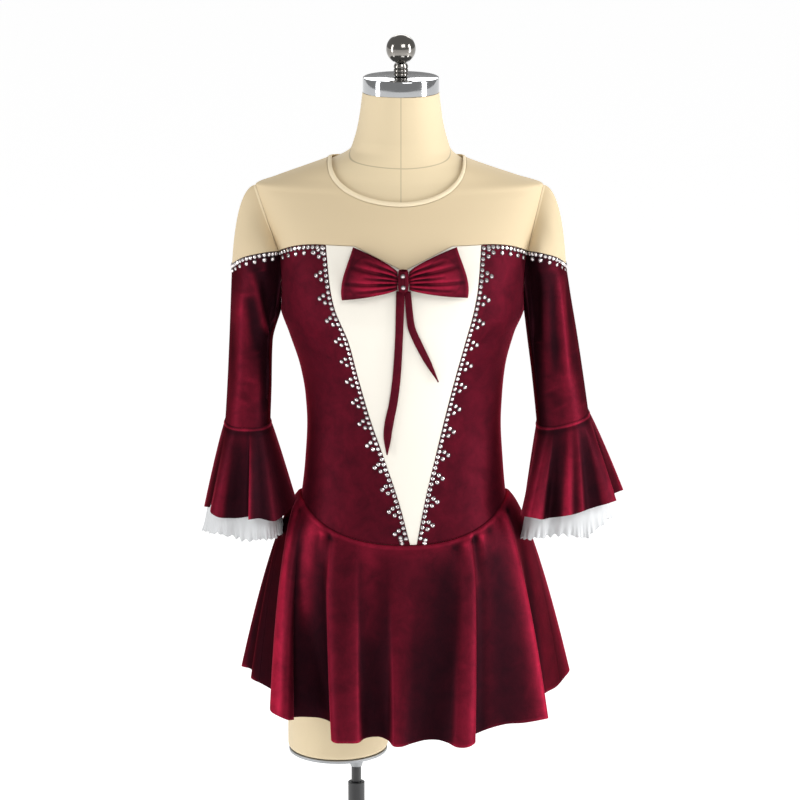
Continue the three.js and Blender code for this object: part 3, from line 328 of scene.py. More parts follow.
def cloth(name, grid, thickness, wrap=False, away=(0, 0), rim_angle=60, painted_shading=None):
    """A sheet from a grid of points in mm (rows down, columns round), thickened inwards."""
    rows, across = grid.shape[:2]
    spans = across if wrap else across - 1
    around = np.linalg.norm(np.diff(grid, axis=1, append=grid[:, :1]), axis=-1).mean(0)[:spans]
    down = np.linalg.norm(np.diff(grid, axis=0), axis=-1).mean(1)
    u = np.concatenate([[0], np.cumsum(around)]) / 1000
    v = np.concatenate([[0], np.cumsum(down)]) / 1000
    j, i = np.meshgrid(np.arange(rows - 1), np.arange(spans), indexing="ij")
    j, i = j.ravel(), i.ravel()
    quads = np.stack([j * across + i, j * across + (i + 1) % across,
                      (j + 1) * across + (i + 1) % across, (j + 1) * across + i], -1)
    cuts = np.stack([np.stack([u[i], v[j]], -1), np.stack([u[i + 1], v[j]], -1),
                     np.stack([u[i + 1], v[j + 1]], -1), np.stack([u[i], v[j + 1]], -1)], 1)
    points = grid.reshape(-1, 3)
    corners = points[quads]
    facing = np.cross(corners[:, 2] - corners[:, 0], corners[:, 3] - corners[:, 1])
    outward = corners.mean(1) - np.array([away[0], away[1], 0])
    if (facing[:, :2] * outward[:, :2]).sum() < 0:
        quads, cuts = quads[:, ::-1], cuts[:, ::-1]
    mesh = bpy.data.meshes.new(name)
    placed = (points + np.array([TORSO_X, 0, 0])) / 1000
    mesh.from_pydata(placed.tolist(), [], quads.tolist())
    mesh.uv_layers.new(name="UVMap").data.foreach_set("uv", cuts.astype(np.float32).ravel())
    # Painted light and shade, stored as a point attribute: under 0 in folds' bottoms, over 0 on ridges
    # and rolled seams.
    if painted_shading:
        shade = fold_shade(grid, wrap, away, *painted_shading).ravel().astype(np.float32)
        mesh.attributes.new("painted_fold_shading", "FLOAT", "POINT").data.foreach_set("value", shade)
    piece = bpy.data.objects.new(name, mesh)
    bpy.context.scene.collection.objects.link(piece)
    pick(piece)
    if thickness:
        wall = piece.modifiers.new("wall", "SOLIDIFY")
        wall.thickness = thickness / 1000
        wall.offset = -1
        bpy.ops.object.modifier_apply(modifier=wall.name)
    bpy.ops.object.shade_smooth_by_angle(angle=math.radians(rim_angle))
    return piece


form_inset = eased([780, 960, 1050, 1130, 1190, 1300, 1360, 1385, 1400, 1411, 1430],
                   [3.6, 3.1, 2.9, 3.2, 4, 2.8, 2.8, 2.8, 2.6, 1.7, 0])
FORM_LOW_Z, NECK_TOP_Z = 790, 1490
spans = [(792, 1340, 70), (1345, 1440, 60), (1446, NECK_TOP_Z, 8)]
height = np.concatenate([np.linspace(*span) for span in spans])
turns = np.linspace(0, 360, 180, endpoint=False)
body = body_point(turns[None, :], height[:, None])
body = lifted(body, -form_inset(height)[:, None])
floor_row = body[:1].copy()
floor_row[..., 2] = FORM_LOW_Z
under = np.concatenate([mix(floor_row.mean(1, keepdims=True), floor_row, 0.02), floor_row])
roof = body[-1:].copy()
roof[..., 2] = NECK_TOP_Z
over = np.concatenate([roof, mix(roof.mean(1, keepdims=True), roof, 0.02)])
form_body = cloth("form_torso_covered", np.concatenate([under, body[1:], over]), 0, wrap=True)

THIGH_TOP_Z = 830
for x, y, half, bottom in [(-87, 6, THIGH_HALF, 617), (74, 6, 64, 716)]:
    bpy.ops.object.select_all(action="DESELECT")
    bpy.ops.mesh.primitive_cylinder_add(
        vertices=96, radius=half / 1000, depth=(THIGH_TOP_Z - bottom) / 1000,
        location=((x + TORSO_X) / 1000, y / 1000, (THIGH_TOP_Z + bottom) / 2000))
    thigh = bpy.context.object
    thigh.scale = (1, THIGH_DEEP / half, 1)
    bpy.ops.object.transform_apply(location=True, rotation=True, scale=True)
    edge = thigh.modifiers.new("rounded_end", "BEVEL")
    edge.width = 0.006
    edge.segments = 4
    edge.limit_method = "ANGLE"
    bpy.ops.object.modifier_apply(modifier=edge.name)
    bpy.ops.object.shade_smooth_by_angle(angle=math.radians(40))
    form_body.select_set(True)
    bpy.context.view_layer.objects.active = form_body
    bpy.ops.object.join()

cream_jersey, shader = finish("cream_jersey", (0.66, 0.53, 0.335), 0.75)
place = node(shader, "TexCoord", {}).outputs["Object"]
apart = node(shader, "SeparateXYZ", {"Vector": place}).outputs


def sum_of(first, second, kind="ADD"):
    """One arithmetic step between two node outputs or numbers."""
    return node(shader, "Math", {0: first, 1: second}, operation=kind).outputs[0]


# Distance from the centre seam and from the seam round the neck's base, which leans forward.
NECK_AXIS_X = 0.059
from_centre = sum_of(sum_of(apart["X"], NECK_AXIS_X, "SUBTRACT"), 0, "ABSOLUTE")
leaning = sum_of(sum_of(apart["Y"], -0.35, "MULTIPLY"), apart["Z"])
from_neck = sum_of(sum_of(leaning, 1.4195, "SUBTRACT"), 0, "ABSOLUTE")
seam_near = sum_of(from_centre, from_neck, "MINIMUM")
seam_line = node(shader, "MapRange", {"Value": seam_near, "From Min": 0.0002, "From Max": 0.0009,
                                      "To Min": 0.66, "To Max": 1}, interpolation_type="SMOOTHSTEP")
tint = node(shader, "Mix", {0: 1, 6: (0.72, 0.59, 0.38, 1), 7: seam_line.outputs["Result"]},
            data_type="RGBA", blend_type="MULTIPLY")
feed(shader, {"Base Color": tint.outputs[2], "Sheen Weight": 0.15})
rough_paint(shader, 0.68, 0.85, 300)
stand_for(form_body, cream_jersey, "form_torso")


# ---------------------------------------------------------------- neck cap, stem and ball
# Chromed brass, turned and polished: a low cap closes the neck, and a beaded stem screwed through
# it carries the ball that the form is lifted by. Stem and ball are plated in a darker nickel.
chrome, shader = finish("chrome", (0.52, 0.53, 0.54), 0.08, 1.0)
rough_paint(shader, 0.05, 0.12, 40)
cap = turned_piece("neck_cap_turned", NECK_AXIS_X, [
    (48.6, 1490.3), (49, 1490.8), (49, 1507.9), (48.5, 1509.4), (47, 1510.3), (12, 1510.3)], 128)
stem = turned_piece("finial_stem_turned", NECK_AXIS_X, [
    (8, 1510.6), (8.9, 1511.4), (9.5, 1513.1), (8.9, 1514.8), (8, 1515.6), (8.9, 1516.4), (9.5, 1518.1),
    (8.9, 1519.8), (8, 1520.6), (8.9, 1521.4), (9.5, 1523.1), (8.9, 1524.8), (8, 1527)], 64, 50)
bpy.ops.object.select_all(action="DESELECT")
bpy.ops.mesh.primitive_uv_sphere_add(segments=64, ring_count=32, radius=0.019,
                                     location=(NECK_AXIS_X, 0, 1.546))
ball = bpy.context.object
ball.name = "finial_ball_polished"
bpy.ops.object.transform_apply(location=True, rotation=True, scale=True)
bpy.ops.object.shade_smooth()
nickel, shader = finish("smoked_nickel", (0.27, 0.255, 0.235), 0.1, 1.0)
rough_paint(shader, 0.07, 0.16, 60)
stand_for(cap, chrome, "neck_cap")
stand_for(stem, nickel, "finial_stem")
stand_for(ball, nickel, "finial_ball")


# ---------------------------------------------------------------- velvet bodice
# Two front panels and a back of burgundy stretch velvet, cut close to the body and overlocked at the
# side seams. Its top edge is turned in and sewn to the net.
SEAM = 0.3              # mm between two pieces at a seam
SIDE_GAP = 0.06         # half the side seam's opening, in degrees
ARMHOLE_LEAN = 20       # how far the armhole reaches round from the side, in degrees
ARMHOLE_TOP_Z = 1291
ARMPIT_Z = 1206
V_TOP_Z = 1307.0
V_LOW_Z = 918.0
BACK_TOP_Z = 1300
WAIST_Z = 966           # the skirt seam at the sides; it dips from there to both middles
ARMHOLE_SHARE = 0.4     # how much of a panel's top edge the armhole takes


def bump(shader, height, strength, distance):
    """Raises what is woven or worn on a finish, from the output that says how high it stands."""
    relief = node(shader, "Bump", {"Height": height, "Strength": strength, "Distance": distance})
    feed(shader, {"Normal": relief.outputs["Normal"]})


# Burgundy stretch velvet: a dark, mottled pile, with painted highlight on fold ridges and painted shade
# in fold bottoms.
DEEP, BRIGHT = (0.046, 0.0016, 0.0052, 1), (0.11, 0.0034, 0.0115, 1)
velvet, shader = finish("burgundy_velvet", DEEP[:3], 0.48, 0.45)
place = node(shader, "TexCoord", {}).outputs["Object"]
brushed = node(shader, "TexNoise", {"Vector": place, "Scale": 45, "Detail": 9, "Roughness": 0.68,
                                    "Distortion": 0.4})
mottle_and_painted_shading = node(shader, "ValToRGB", {"Fac": brushed.outputs["Fac"]})
for stop, position, color in zip(mottle_and_painted_shading.color_ramp.elements, (0.3, 0.78), (DEEP, BRIGHT)):
    stop.position, stop.color = position, color
# Painted light and shade from the cloth's point attribute: it lifts the base colour and the sheen on
# ridges, and darkens both in fold bottoms.
painted_fold_shading = node(shader, "Attribute", {}, attribute_name="painted_fold_shading").outputs["Fac"]
painted_light_amount = node(shader, "MapRange", {"Value": painted_fold_shading, "From Min": -1})
strength = node(shader, "Math", {0: painted_light_amount.outputs["Result"], 1: 2.2}, operation="POWER")
scaled = node(shader, "Math", {0: strength.outputs[0], 1: 3.9, 2: 0.22}, operation="MULTIPLY_ADD")
lit = node(shader, "VectorMath", {0: mottle_and_painted_shading.outputs["Color"], 1: scaled.outputs[0],
                                  2: (0.006, 0.0042, 0.0062)}, operation="MULTIPLY_ADD")
glow = node(shader, "MapRange", {"Value": painted_fold_shading, "From Min": -1, "To Max": 1})
feed(shader, {"Base Color": lit.outputs["Vector"], "Sheen Weight": glow.outputs["Result"],
              "Specular IOR Level": 0, "Specular Tint": (0.7, 0.06, 0.14, 1), "Sheen Roughness": 0.3,
              "Sheen Tint": (1.0, 0.1, 0.19, 1)})
fibre = node(shader, "TexNoise", {"Vector": place, "Scale": 1400, "Detail": 2})
bump(shader, fibre.outputs["Fac"], 0.4, 0.0004)

V_SEAM_Z = [915, 967, 1035, 1075, 1135, 1186, 1231, 1255, 1310]
v_seam_left = eased(V_SEAM_Z, [8.5, -5, -28, -42, -58.5, -71, -89, -94, -100])
v_seam_right = eased(V_SEAM_Z, [15.7, 25.5, 41.5, 51, 65.5, 78.5, 90, 94, 98.5])


def side_turn(sign, lean):
    """A turn that is counted from the viewer's right (sign 1) or from the left (-1)."""
    return lean if sign > 0 else 180 - lean


def skirt_seam_z(turn):
    sin = np.sin(np.radians(turn))
    return WAIST_Z - np.where(sin >= 0, WAIST_Z - V_LOW_Z, 42) * np.abs(sin) ** 1.6


def turn_at(x, z):
    half, _, power = body_at(x, -np.ones_like(x), z)
    lean = np.degrees(np.arccos(np.minimum(np.abs(x) / half, 1) ** (power / 2)))
    return np.where(x >= 0, lean, 180 - lean)


def seam_lean(sign, z):
    edge = (v_seam_left if sign < 0 else v_seam_right)(z) + sign * SEAM / 2
    return side_turn(sign, turn_at(edge, z))


def chest_edge(along, far_lean, far_z):
    lean = mix(ARMHOLE_LEAN, far_lean, along)
    return lean, mix(ARMHOLE_TOP_Z, far_z, np.sin(along * np.pi / 2))


def armhole_curve(share):
    return (ARMHOLE_LEAN * np.sin(share * np.pi / 2),
            mix(ARMHOLE_TOP_Z, ARMPIT_Z, np.cos(share * np.pi / 2)))


def panel_top(share, far_lean, far_z):
    arm_lean, arm_z = armhole_curve(np.minimum(share / ARMHOLE_SHARE, 1))
    chest_share = np.maximum((share - ARMHOLE_SHARE) / (1 - ARMHOLE_SHARE), 0)
    chest_lean, chest_z = chest_edge(chest_share, far_lean, far_z)
    near = share < ARMHOLE_SHARE
    return np.where(near, arm_lean, chest_lean), np.where(near, arm_z, chest_z)


def swelling(place, middle, width):
    """1 in the middle, and falling softly to 0 on both sides of it."""
    return np.exp(-((place - middle) / width) ** 2)


def crease(points, normals, lines, face):
    """Presses soft troughs (depth under 0 raises a ridge) along lines on the front or back.

    A line is (x0, z0, x1, z1, width, depth) in mm, seen from in front; it fades at both ends."""
    side = np.clip(normals[..., 1] * face * 2.5, 0, 1)
    moved = points.copy()
    for x0, z0, x1, z1, width, depth in lines:
        dx, dz = x1 - x0, z1 - z0
        along = ((points[..., 0] - x0) * dx + (points[..., 2] - z0) * dz) / (dx * dx + dz * dz)
        near_x = x0 + np.clip(along, 0, 1) * dx
        near_z = z0 + np.clip(along, 0, 1) * dz
        away = np.hypot(points[..., 0] - near_x, points[..., 2] - near_z)
        middle = np.clip(1 - np.abs(2 * along - 1) ** 3, 0, 1)
        press = depth * swelling(away, 0, width) * (0.15 + 0.85 * middle) * side
        moved -= normals * press[..., None]
    return moved


BODICE_CREASES = {
    -1: [(-120, 1196, -96, 1164, 6, 0.9), (-124, 1180, -104, 1142, 7, 0.8),
         (-116, 1000, -86, 1014, 7, 0.7), (-118, 1060, -92, 1052, 8, 0.6)],
    1: [(116, 1198, 94, 1168, 6, 0.9), (122, 1176, 104, 1140, 7, 0.7), (112, 992, 84, 1008, 7, 0.8),
        (116, 1048, 92, 1044, 8, 0.6)],
}
for sign, name in [(-1, "bodice_front_left"), (1, "bodice_front_right")]:
    u, v = np.meshgrid(np.linspace(0, 1, 81), np.linspace(0, 1, 101))
    top_lean = seam_lean(sign, np.array(V_TOP_Z))
    low_lean = seam_lean(sign, np.array(V_LOW_Z))
    edge_lean, edge_z = panel_top(u, top_lean, V_TOP_Z)
    z = mix(skirt_seam_z(side_turn(sign, mix(SIDE_GAP, low_lean, u))), edge_z, v)
    lean = mix(SIDE_GAP, seam_lean(sign, z), mix(u, edge_lean / top_lean, v))
    grid = body_point(side_turn(sign, lean), z)
    grid = crease(grid, body_normal(grid), BODICE_CREASES[sign], -1)
    front_panel = cloth(name + "_sewn", grid, 1.6)
    stand_for(front_panel, velvet, name)

u, v = np.meshgrid(np.linspace(0, 1, 161), np.linspace(0, 1, 101))
half_share = np.where(u < 0.5, u * 2, (1 - u) * 2)
edge_lean, edge_z = panel_top(half_share, 90, BACK_TOP_Z)
edge_turn = np.where(u < 0.5, 180 + edge_lean, 360 - edge_lean)
low_turn = mix(180 + SIDE_GAP, 360 - SIDE_GAP, u)
top_turn = mix(180 + SIDE_GAP, 360 - SIDE_GAP, (edge_turn - 180) / 180)
grid = body_point(mix(low_turn, top_turn, v), mix(skirt_seam_z(low_turn), edge_z, v))
grid = crease(grid, body_normal(grid), [
    (-70, 1040, -18, 1030, 8, 1.0), (66, 1030, 14, 1022, 8, 0.9), (-60, 1008, -12, 1000, 7, 0.8),
    (-124, 1190, -92, 1160, 7, 0.9), (120, 1194, 90, 1160, 7, 0.9), (58, 1062, 20, 1056, 8, 0.6)], 1)
back_panel = cloth("bodice_back_sewn", grid, 1.6)
stand_for(back_panel, velvet, "bodice_back")


# ---------------------------------------------------------------- ivory V panel
# A long pointed panel of ivory knit, lined, set between the front panels. Its top edge dips to the
# bow as a sweetheart line, and its point ends in the skirt seam.
ivory, shader = finish("ivory_knit", (0.86, 0.82, 0.73), 0.62)
feed(shader, {"Sheen Weight": 0.12})
place = node(shader, "TexCoord", {}).outputs["UV"]
stretch = node(shader, "Mapping", {"Vector": place, "Scale": (1, 0.25, 1)}).outputs["Vector"]
bump(shader, node(shader, "TexNoise", {"Vector": stretch, "Scale": 900}).outputs["Fac"], 0.18, 0.0003)


def v_panel_top(x):
    return V_TOP_Z - 29 * np.maximum(0, 1 - np.abs(x + 1) / 62)


def across_v(u, z):
    return mix(v_seam_left(z) + SEAM / 2, v_seam_right(z) - SEAM / 2, u)


u, v = np.meshgrid(np.linspace(0, 1, 61), np.linspace(0, 1, 121))
v_low = skirt_seam_z(turn_at(across_v(u, 920 + 0 * u), 920 + 0 * u))
z = mix(v_low, v_panel_top(across_v(u, V_TOP_Z + 0 * u)), v)
grid = face_point(across_v(u, z), z, -1)
grid = crease(grid, body_normal(grid), [
    (-84, 1296, -72, 1236, 7, 0.8), (84, 1292, 76, 1240, 7, 0.7), (-20, 1180, 10, 1172, 9, 0.4)], -1)
panel = cloth("v_panel_sewn", grid, 1.6)
stand_for(panel, ivory, "v_panel")


# ---------------------------------------------------------------- sheer yoke, neck binding, net caps
# Nude power net is stretched over the chest, shoulders and back. The round neck is bound with a
# folded strip of the same net, and a seam at each armhole joins a cap that runs down to the velvet.
net, shader = finish("nude_net", (0.68, 0.545, 0.345), 0.7)
feed(shader, {"Sheen Weight": 0.2, "Sheen Tint": (1, 0.9, 0.7, 1)})
place = node(shader, "TexCoord", {}).outputs["UV"]
holes = node(shader, "TexVoronoi", {"Vector": place, "Scale": 1100})
bump(shader, holes.outputs["Distance"], 0.15, 0.0003)
net_double, shader = finish("nude_net_doubled", (0.84, 0.71, 0.49), 0.65)
rough_paint(shader, 0.6, 0.75, 400)

NECK_X = -4
NECK_SIDE_Z = 1406.5
BINDING = 5.8
NET_LIFT = 1.1          # how far the net stands off the panels' inner face, in mm


def neck_edge(sign, angle, face, step):
    side_z = NECK_SIDE_Z - step * 0.38
    drop = (47 if face < 0 else 7) + step * 0.55
    left, right = body_sizes[0](side_z), body_sizes[1](side_z)
    reach = (right if sign > 0 else left) - sign * NECK_X
    z = side_z - drop * np.maximum(0, np.cos(np.radians(angle))) ** 0.9
    return NECK_X + sign * reach * np.sin(np.radians(angle)), z


def yoke_top(sign, share, face):
    step = BINDING + 2 * SEAM
    neck_x, neck_z = neck_edge(sign, 180 * np.minimum(share, 0.5), face, step)
    z = mix(NECK_SIDE_Z - step * 0.38, 1370, np.maximum(share - 0.5, 0) * 2)
    side = body_sizes[1](z) if sign > 0 else -body_sizes[0](z)
    return np.where(share < 0.5, neck_x, side), np.where(share < 0.5, neck_z, z)


def yoke_low(sign, share, face):
    def on_body(lean, z):
        return body_point(side_turn(sign, -face * lean), z)[..., 0], z + 2 * SEAM

    if face > 0:
        return on_body(*chest_edge(1 - share, 90, BACK_TOP_Z))
    far = seam_lean(sign, np.array(V_TOP_Z))
    edge_x, edge_z = on_body(*chest_edge((1 - np.maximum(share, 0.5)) * 2, far, V_TOP_Z))
    left, right = v_seam_left(V_TOP_Z), v_seam_right(V_TOP_Z)
    heart_x = mix((left + right) / 2, left if sign < 0 else right, np.minimum(share, 0.5) * 2)
    heart_z = v_panel_top(heart_x) + 2 * SEAM
    return np.where(share > 0.5, edge_x, heart_x), np.where(share > 0.5, edge_z, heart_z)


for face, name in [(-1, "yoke_front"), (1, "yoke_back")]:
    halves = []
    for sign, shares in [(-1, np.linspace(1, 0, 71)), (1, np.linspace(0, 1, 71)[1:])]:
        share, v = np.meshgrid(shares, np.linspace(0, 1, 41))
        low_x, low_z = yoke_low(sign, share, face)
        top_x, top_z = yoke_top(sign, share, face)
        rise = 1 - (1 - v) ** 1.4
        half = face_point(mix(low_x, top_x, rise), mix(low_z, top_z, rise), face)
        half[..., 1] += face * SEAM / 2
        halves.append(half)
    grid = np.concatenate(halves, 1)
    grid = lifted(grid, NET_LIFT + 0 * grid[..., 0])
    yoke = cloth(name + "_stretched", grid, 0.9)
    stand_for(yoke, net, name)

turn, v = np.meshgrid(np.linspace(0, 360, 240, endpoint=False), np.linspace(0, 1, 9))
face = np.where(turn < 180, -1, 1)
lean = np.where(turn < 180, turn - 90, 270 - turn)
strips = [np.stack(neck_edge(sign, np.abs(lean), side, (1 - v) * BINDING), -1)
          for sign in (-1, 1) for side in (-1, 1)]
quarter = np.where(lean < 0, 0, 2) + np.where(face < 0, 0, 1)
edge = np.take_along_axis(np.stack(strips), quarter[None, ..., None], 0)[0]
front = face_point(edge[..., 0], edge[..., 1], -1)
back = face_point(edge[..., 0], edge[..., 1], 1)
grid = np.where((face < 0)[..., None], front, back)
grid = lifted(grid, 1.3 + 0.9 * np.sin(np.pi * v) ** 0.7)
binding = cloth("neck_binding_folded", grid, 1.6, wrap=True)
stand_for(binding, net_double, "neck_binding")

SLEEVE_ROWS = {
    "left": {"sign": -1, "reach": 222, "cuff": (1062, 1063), "rows": [
        # height, outer, inner, front, back
        (1055, 232.5, 173.5, -64, 32), (1110, 229, 172, -60, 36), (1166, 226.5, 173, -54, 44),
        (1206, 225, 166, -56, 50), (1295, 222, 158, -62, 55)]},
    "right": {"sign": 1, "reach": 209, "cuff": (1060, 1075), "rows": [
        (1055, 242, 172.5, -66, 30), (1125, 232, 166, -61, 36), (1176, 224.5, 162, -56, 44),
        (1228, 216.5, 160, -57, 50), (1295, 208, 156, -62, 55)]},
}
SLEEVE_TOP = np.array([
    # share of the reach from the armhole, depth, height
    (0.3, -60, 1292), (0.72, -48, 1284), (0.95, -23, 1272), (1, -3, 1267), (0.95, 18, 1271),
    (0.72, 42, 1282), (0.3, 51, 1289)])


def armhole_corner(sign, face):
    turn = side_turn(sign, -face * ARMHOLE_LEAN)
    return body_point(np.array([turn]), np.array([ARMHOLE_TOP_Z]))


def smooth_path(points, share):
    """A curve through points, eased by the square root of each gap so that it never loops."""
    points = np.concatenate([[2 * points[0] - points[1]], points, [2 * points[-1] - points[-2]]])
    spans = len(points) - 3
    place = np.clip(share, 0, 1) * spans
    i = np.minimum(place.astype(int), spans - 1)
    weight = (place - i)[..., None]
    p = [points[i + k] for k in range(4)]
    gap = [np.linalg.norm(p[k + 1] - p[k], axis=-1, keepdims=True) ** 0.5 for k in range(3)]
    leave = (p[1] - p[0]) / gap[0] - (p[2] - p[0]) / (gap[0] + gap[1]) + (p[2] - p[1]) / gap[1]
    reach = (p[2] - p[1]) / gap[1] - (p[3] - p[1]) / (gap[1] + gap[2]) + (p[3] - p[2]) / gap[2]
    leave, reach = leave * gap[1], reach * gap[1]
    a = 2 * p[1] - 2 * p[2] + leave + reach
    b = -3 * p[1] + 3 * p[2] - 2 * leave - reach
    return a * weight ** 3 + b * weight ** 2 + leave * weight + p[1]


def sleeve_edge(sleeve, share):
    sign = sleeve["sign"]
    front = lifted(armhole_corner(sign, -1), 0.5)[0]
    back = lifted(armhole_corner(sign, 1), 0.5)[0]
    around = SLEEVE_TOP.copy()
    around[:, 0] = sign * mix(abs(front[0]), sleeve["reach"], SLEEVE_TOP[:, 0])
    return smooth_path(np.concatenate([[front], around, [back]]), share)


for side, sleeve in SLEEVE_ROWS.items():
    sign = sleeve["sign"]
    u, v = np.meshgrid(np.linspace(0, 1, 91), np.linspace(0, 1, 41))
    seam_share = 1 - np.abs(1 - 2 * u)
    ends = []
    for face in (-1, 1):
        low_point = armhole_corner(sign, face)[0]
        top_x, top_z = yoke_top(sign, np.array(1.0), face)
        ends.append(face_point(mix(low_point[0], float(top_x), seam_share),
                               mix(low_point[2], float(top_z), seam_share), face))
    start = lifted(np.where((u < 0.5)[..., None], ends[0], ends[1]), NET_LIFT + 0 * u)
    start[..., 0] += sign * 0.3
    end = sleeve_edge(sleeve, mix(0.015, 0.985, u))
    end[..., 2] += 0.6
    bend = np.stack([mix(start[..., 0], end[..., 0], 0.8), mix(start[..., 1], end[..., 1], 0.5),
                     mix(start[..., 2], end[..., 2], 0.05)], -1)
    w = v[..., None]
    grid = start * (1 - w) ** 2 + bend * 2 * w * (1 - w) + end * w ** 2
    cap_net = cloth("sleeve_cap_%s_net" % side, grid, 0.9, away=(sign * 150, 0))
    stand_for(cap_net, net, "sleeve_cap_" + side)
    cap_net.data.materials.append(net_double)
    for face in cap_net.data.polygons[:180]:
        face.material_index = 1


# ---------------------------------------------------------------- velvet sleeves
# Close sleeves of the same velvet, each cut in one piece with a seam under the arm, set into the
# armhole and turned in at the top edge, where the net cap carries them.
SLEEVE_ROUND = 0.86     # the power of a section's curve: 1 is an ellipse, less is boxier


def sleeve_section(sleeve, z):
    rows = np.array(sleeve["rows"], float)
    outer, inner, front, back = (eased(rows[:, 0], rows[:, k])(z) for k in range(1, 5))
    sign = sleeve["sign"]
    return sign * (outer + inner) / 2, (front + back) / 2, (outer - inner) / 2, (back - front) / 2


def sleeve_ring(sleeve, angle, z):
    x, y, half, deep = sleeve_section(sleeve, z)
    cos, sin = np.cos(angle), np.sin(angle)
    return np.stack([x + half * np.sign(cos) * np.abs(cos) ** SLEEVE_ROUND,
                     y + deep * np.sign(sin) * np.abs(sin) ** SLEEVE_ROUND, z + 0 * x], -1)


def ring_angle(sleeve, point):
    x, y, half, deep = sleeve_section(sleeve, point[..., 2])
    across, down = (point[..., 0] - x) / half, (point[..., 1] - y) / deep
    return np.arctan2(np.sign(down) * np.abs(down) ** (1 / SLEEVE_ROUND),
                      np.sign(across) * np.abs(across) ** (1 / SLEEVE_ROUND))


def cuff_ring(sleeve, angle):
    rows = np.array(sleeve["rows"], float)
    inner_z, outer_z = sleeve["cuff"]
    flat = sleeve_ring(sleeve, angle, inner_z + 0 * angle)
    outer, inner = (eased(rows[:, 0], rows[:, k])(inner_z) for k in (1, 2))
    share = np.clip((np.abs(flat[..., 0]) - inner) / (outer - inner), 0, 1)
    return sleeve_ring(sleeve, angle, mix(inner_z, outer_z, share))


def surface_normals(grid, away, wrap=True):
    """Outward directions of a grid, told from the axis that it stands round."""
    across = np.roll(grid, -1, 1) - np.roll(grid, 1, 1) if wrap else np.gradient(grid, axis=1)
    way = np.cross(across, np.gradient(grid, axis=0))
    way /= np.maximum(np.linalg.norm(way, axis=-1, keepdims=True), 1e-9)
    out = ((grid[..., :2] - np.asarray(away)) * way[..., :2]).sum(-1, keepdims=True)
    return way * np.sign(out.mean())


SLEEVE_CREASES = {
    "left": ([(-193, 1268, -174, 1166, 6, -2.2), (-182, 1268, -163, 1168, 7.5, 4.2),
              (-209, 1240, -206, 1120, 8, -1.4), (-200, 1236, -186, 1160, 9, 1.8),
              (-178, 1150, -176, 1080, 8, 1.2), (-222, 1200, -219, 1090, 7, 0.9),
              (-196, 1124, -206, 1096, 10, 0.5)],
             [(-196, 1262, -182, 1176, 8, 2.2), (-214, 1230, -208, 1110, 9, -1.6),
              (-180, 1190, -206, 1168, 9, 1.2), (-184, 1140, -212, 1124, 8, 1)]),
    "right": ([(168, 1268, 170, 1172, 7, 4.2), (190, 1270, 196, 1130, 7, 1.8),
               (200, 1262, 212, 1110, 6, -1.8), (208, 1250, 220, 1120, 6, 1.4),
               (178, 1240, 186, 1130, 8, -1.6), (188, 1112, 200, 1090, 10, 0.4),
               (222, 1160, 232, 1090, 7, 0.9)],
              [(188, 1262, 192, 1150, 8, 2), (206, 1250, 214, 1120, 8, -1.5),
               (172, 1180, 198, 1164, 9, 1.2), (176, 1130, 210, 1118, 8, 0.9)]),
}
OVER_ARM = 0.66         # share of the top edge that goes over the shoulder, the rest under the arm
for side, sleeve in SLEEVE_ROWS.items():
    sign = sleeve["sign"]
    u = np.linspace(0, 1, 120, endpoint=False)
    outside = sleeve_edge(sleeve, np.minimum(u / OVER_ARM, 1))
    across = 1 - 2 * np.maximum(u - OVER_ARM, 0) / (1 - OVER_ARM)
    arm_lean, arm_z = armhole_curve(np.abs(across))
    lean = np.where(across > 0, -arm_lean, arm_lean)
    under = body_point(side_turn(sign, lean), arm_z)
    top = np.where((u < OVER_ARM)[:, None], outside, lifted(under, 0.5 + 0 * u))
    angle = ring_angle(sleeve, top)
    cuff = cuff_ring(sleeve, angle)
    v = np.linspace(0, 1, 91)[:, None]
    z = mix(top[None, :, 2], cuff[None, :, 2], v)
    angles = np.broadcast_to(angle, z.shape)
    from_top = top - sleeve_ring(sleeve, angle, top[:, 2])
    grid = sleeve_ring(sleeve, angles, z) + from_top[None] * ((1 - v) ** 2.5)[..., None]
    axis = sleeve_section(sleeve, np.array(1180.0))[:2]
    ways = surface_normals(grid, axis)
    front_lines, back_lines = SLEEVE_CREASES[side]
    fade = (np.clip(v * 9, 0, 1) * np.clip((1 - v) * 12, 0, 1))[..., None]
    pressed = crease(grid, ways, front_lines, -1) + crease(grid, ways, back_lines, 1) - 2 * grid
    grid = grid + pressed * fade
    # Painted shade over the whole sleeve, deepest near the top on its side toward the body.
    painted_underarm_shade = np.clip((axis[0] - grid[..., 0]) * sign / 20 + 0.2, 0, 1) * np.clip(1.8 - 2.4 * v, 0, 1)
    tube = cloth("sleeve_%s_sewn" % side, grid, 1.6, wrap=True, away=axis,
                 painted_shading=(5, 1.9, -0.56 - 0.9 * painted_underarm_shade))
    stand_for(tube, velvet, "sleeve_" + side)


# ---------------------------------------------------------------- bell cuffs
# A circular flounce of velvet is sewn round each sleeve end and falls in rolled folds. A white
# chiffon frill hangs inside it, its hem rolled and stretched so that it flutes.
def hem_point(hem, turn):
    x, y, right, left, front, back = hem
    cos, sin = np.cos(np.radians(turn)), np.sin(np.radians(turn))
    return x + np.where(cos >= 0, right, left) * cos, y - np.where(sin >= 0, front, back) * sin


def drawn_hem(rows, steps):
    """The hem as it hangs, through rows of (place round the seam, x, y, z), closed on itself."""
    rows = np.array(rows, float)
    before, after = rows[-3:].copy(), rows[:3].copy()
    before[:, 0] -= 360
    after[:, 0] += 360
    spans = len(rows)
    share = (2 + np.arange(spans * steps) / steps) / (spans + 4)
    return smooth_path(np.concatenate([before[1:], rows, after]), share)


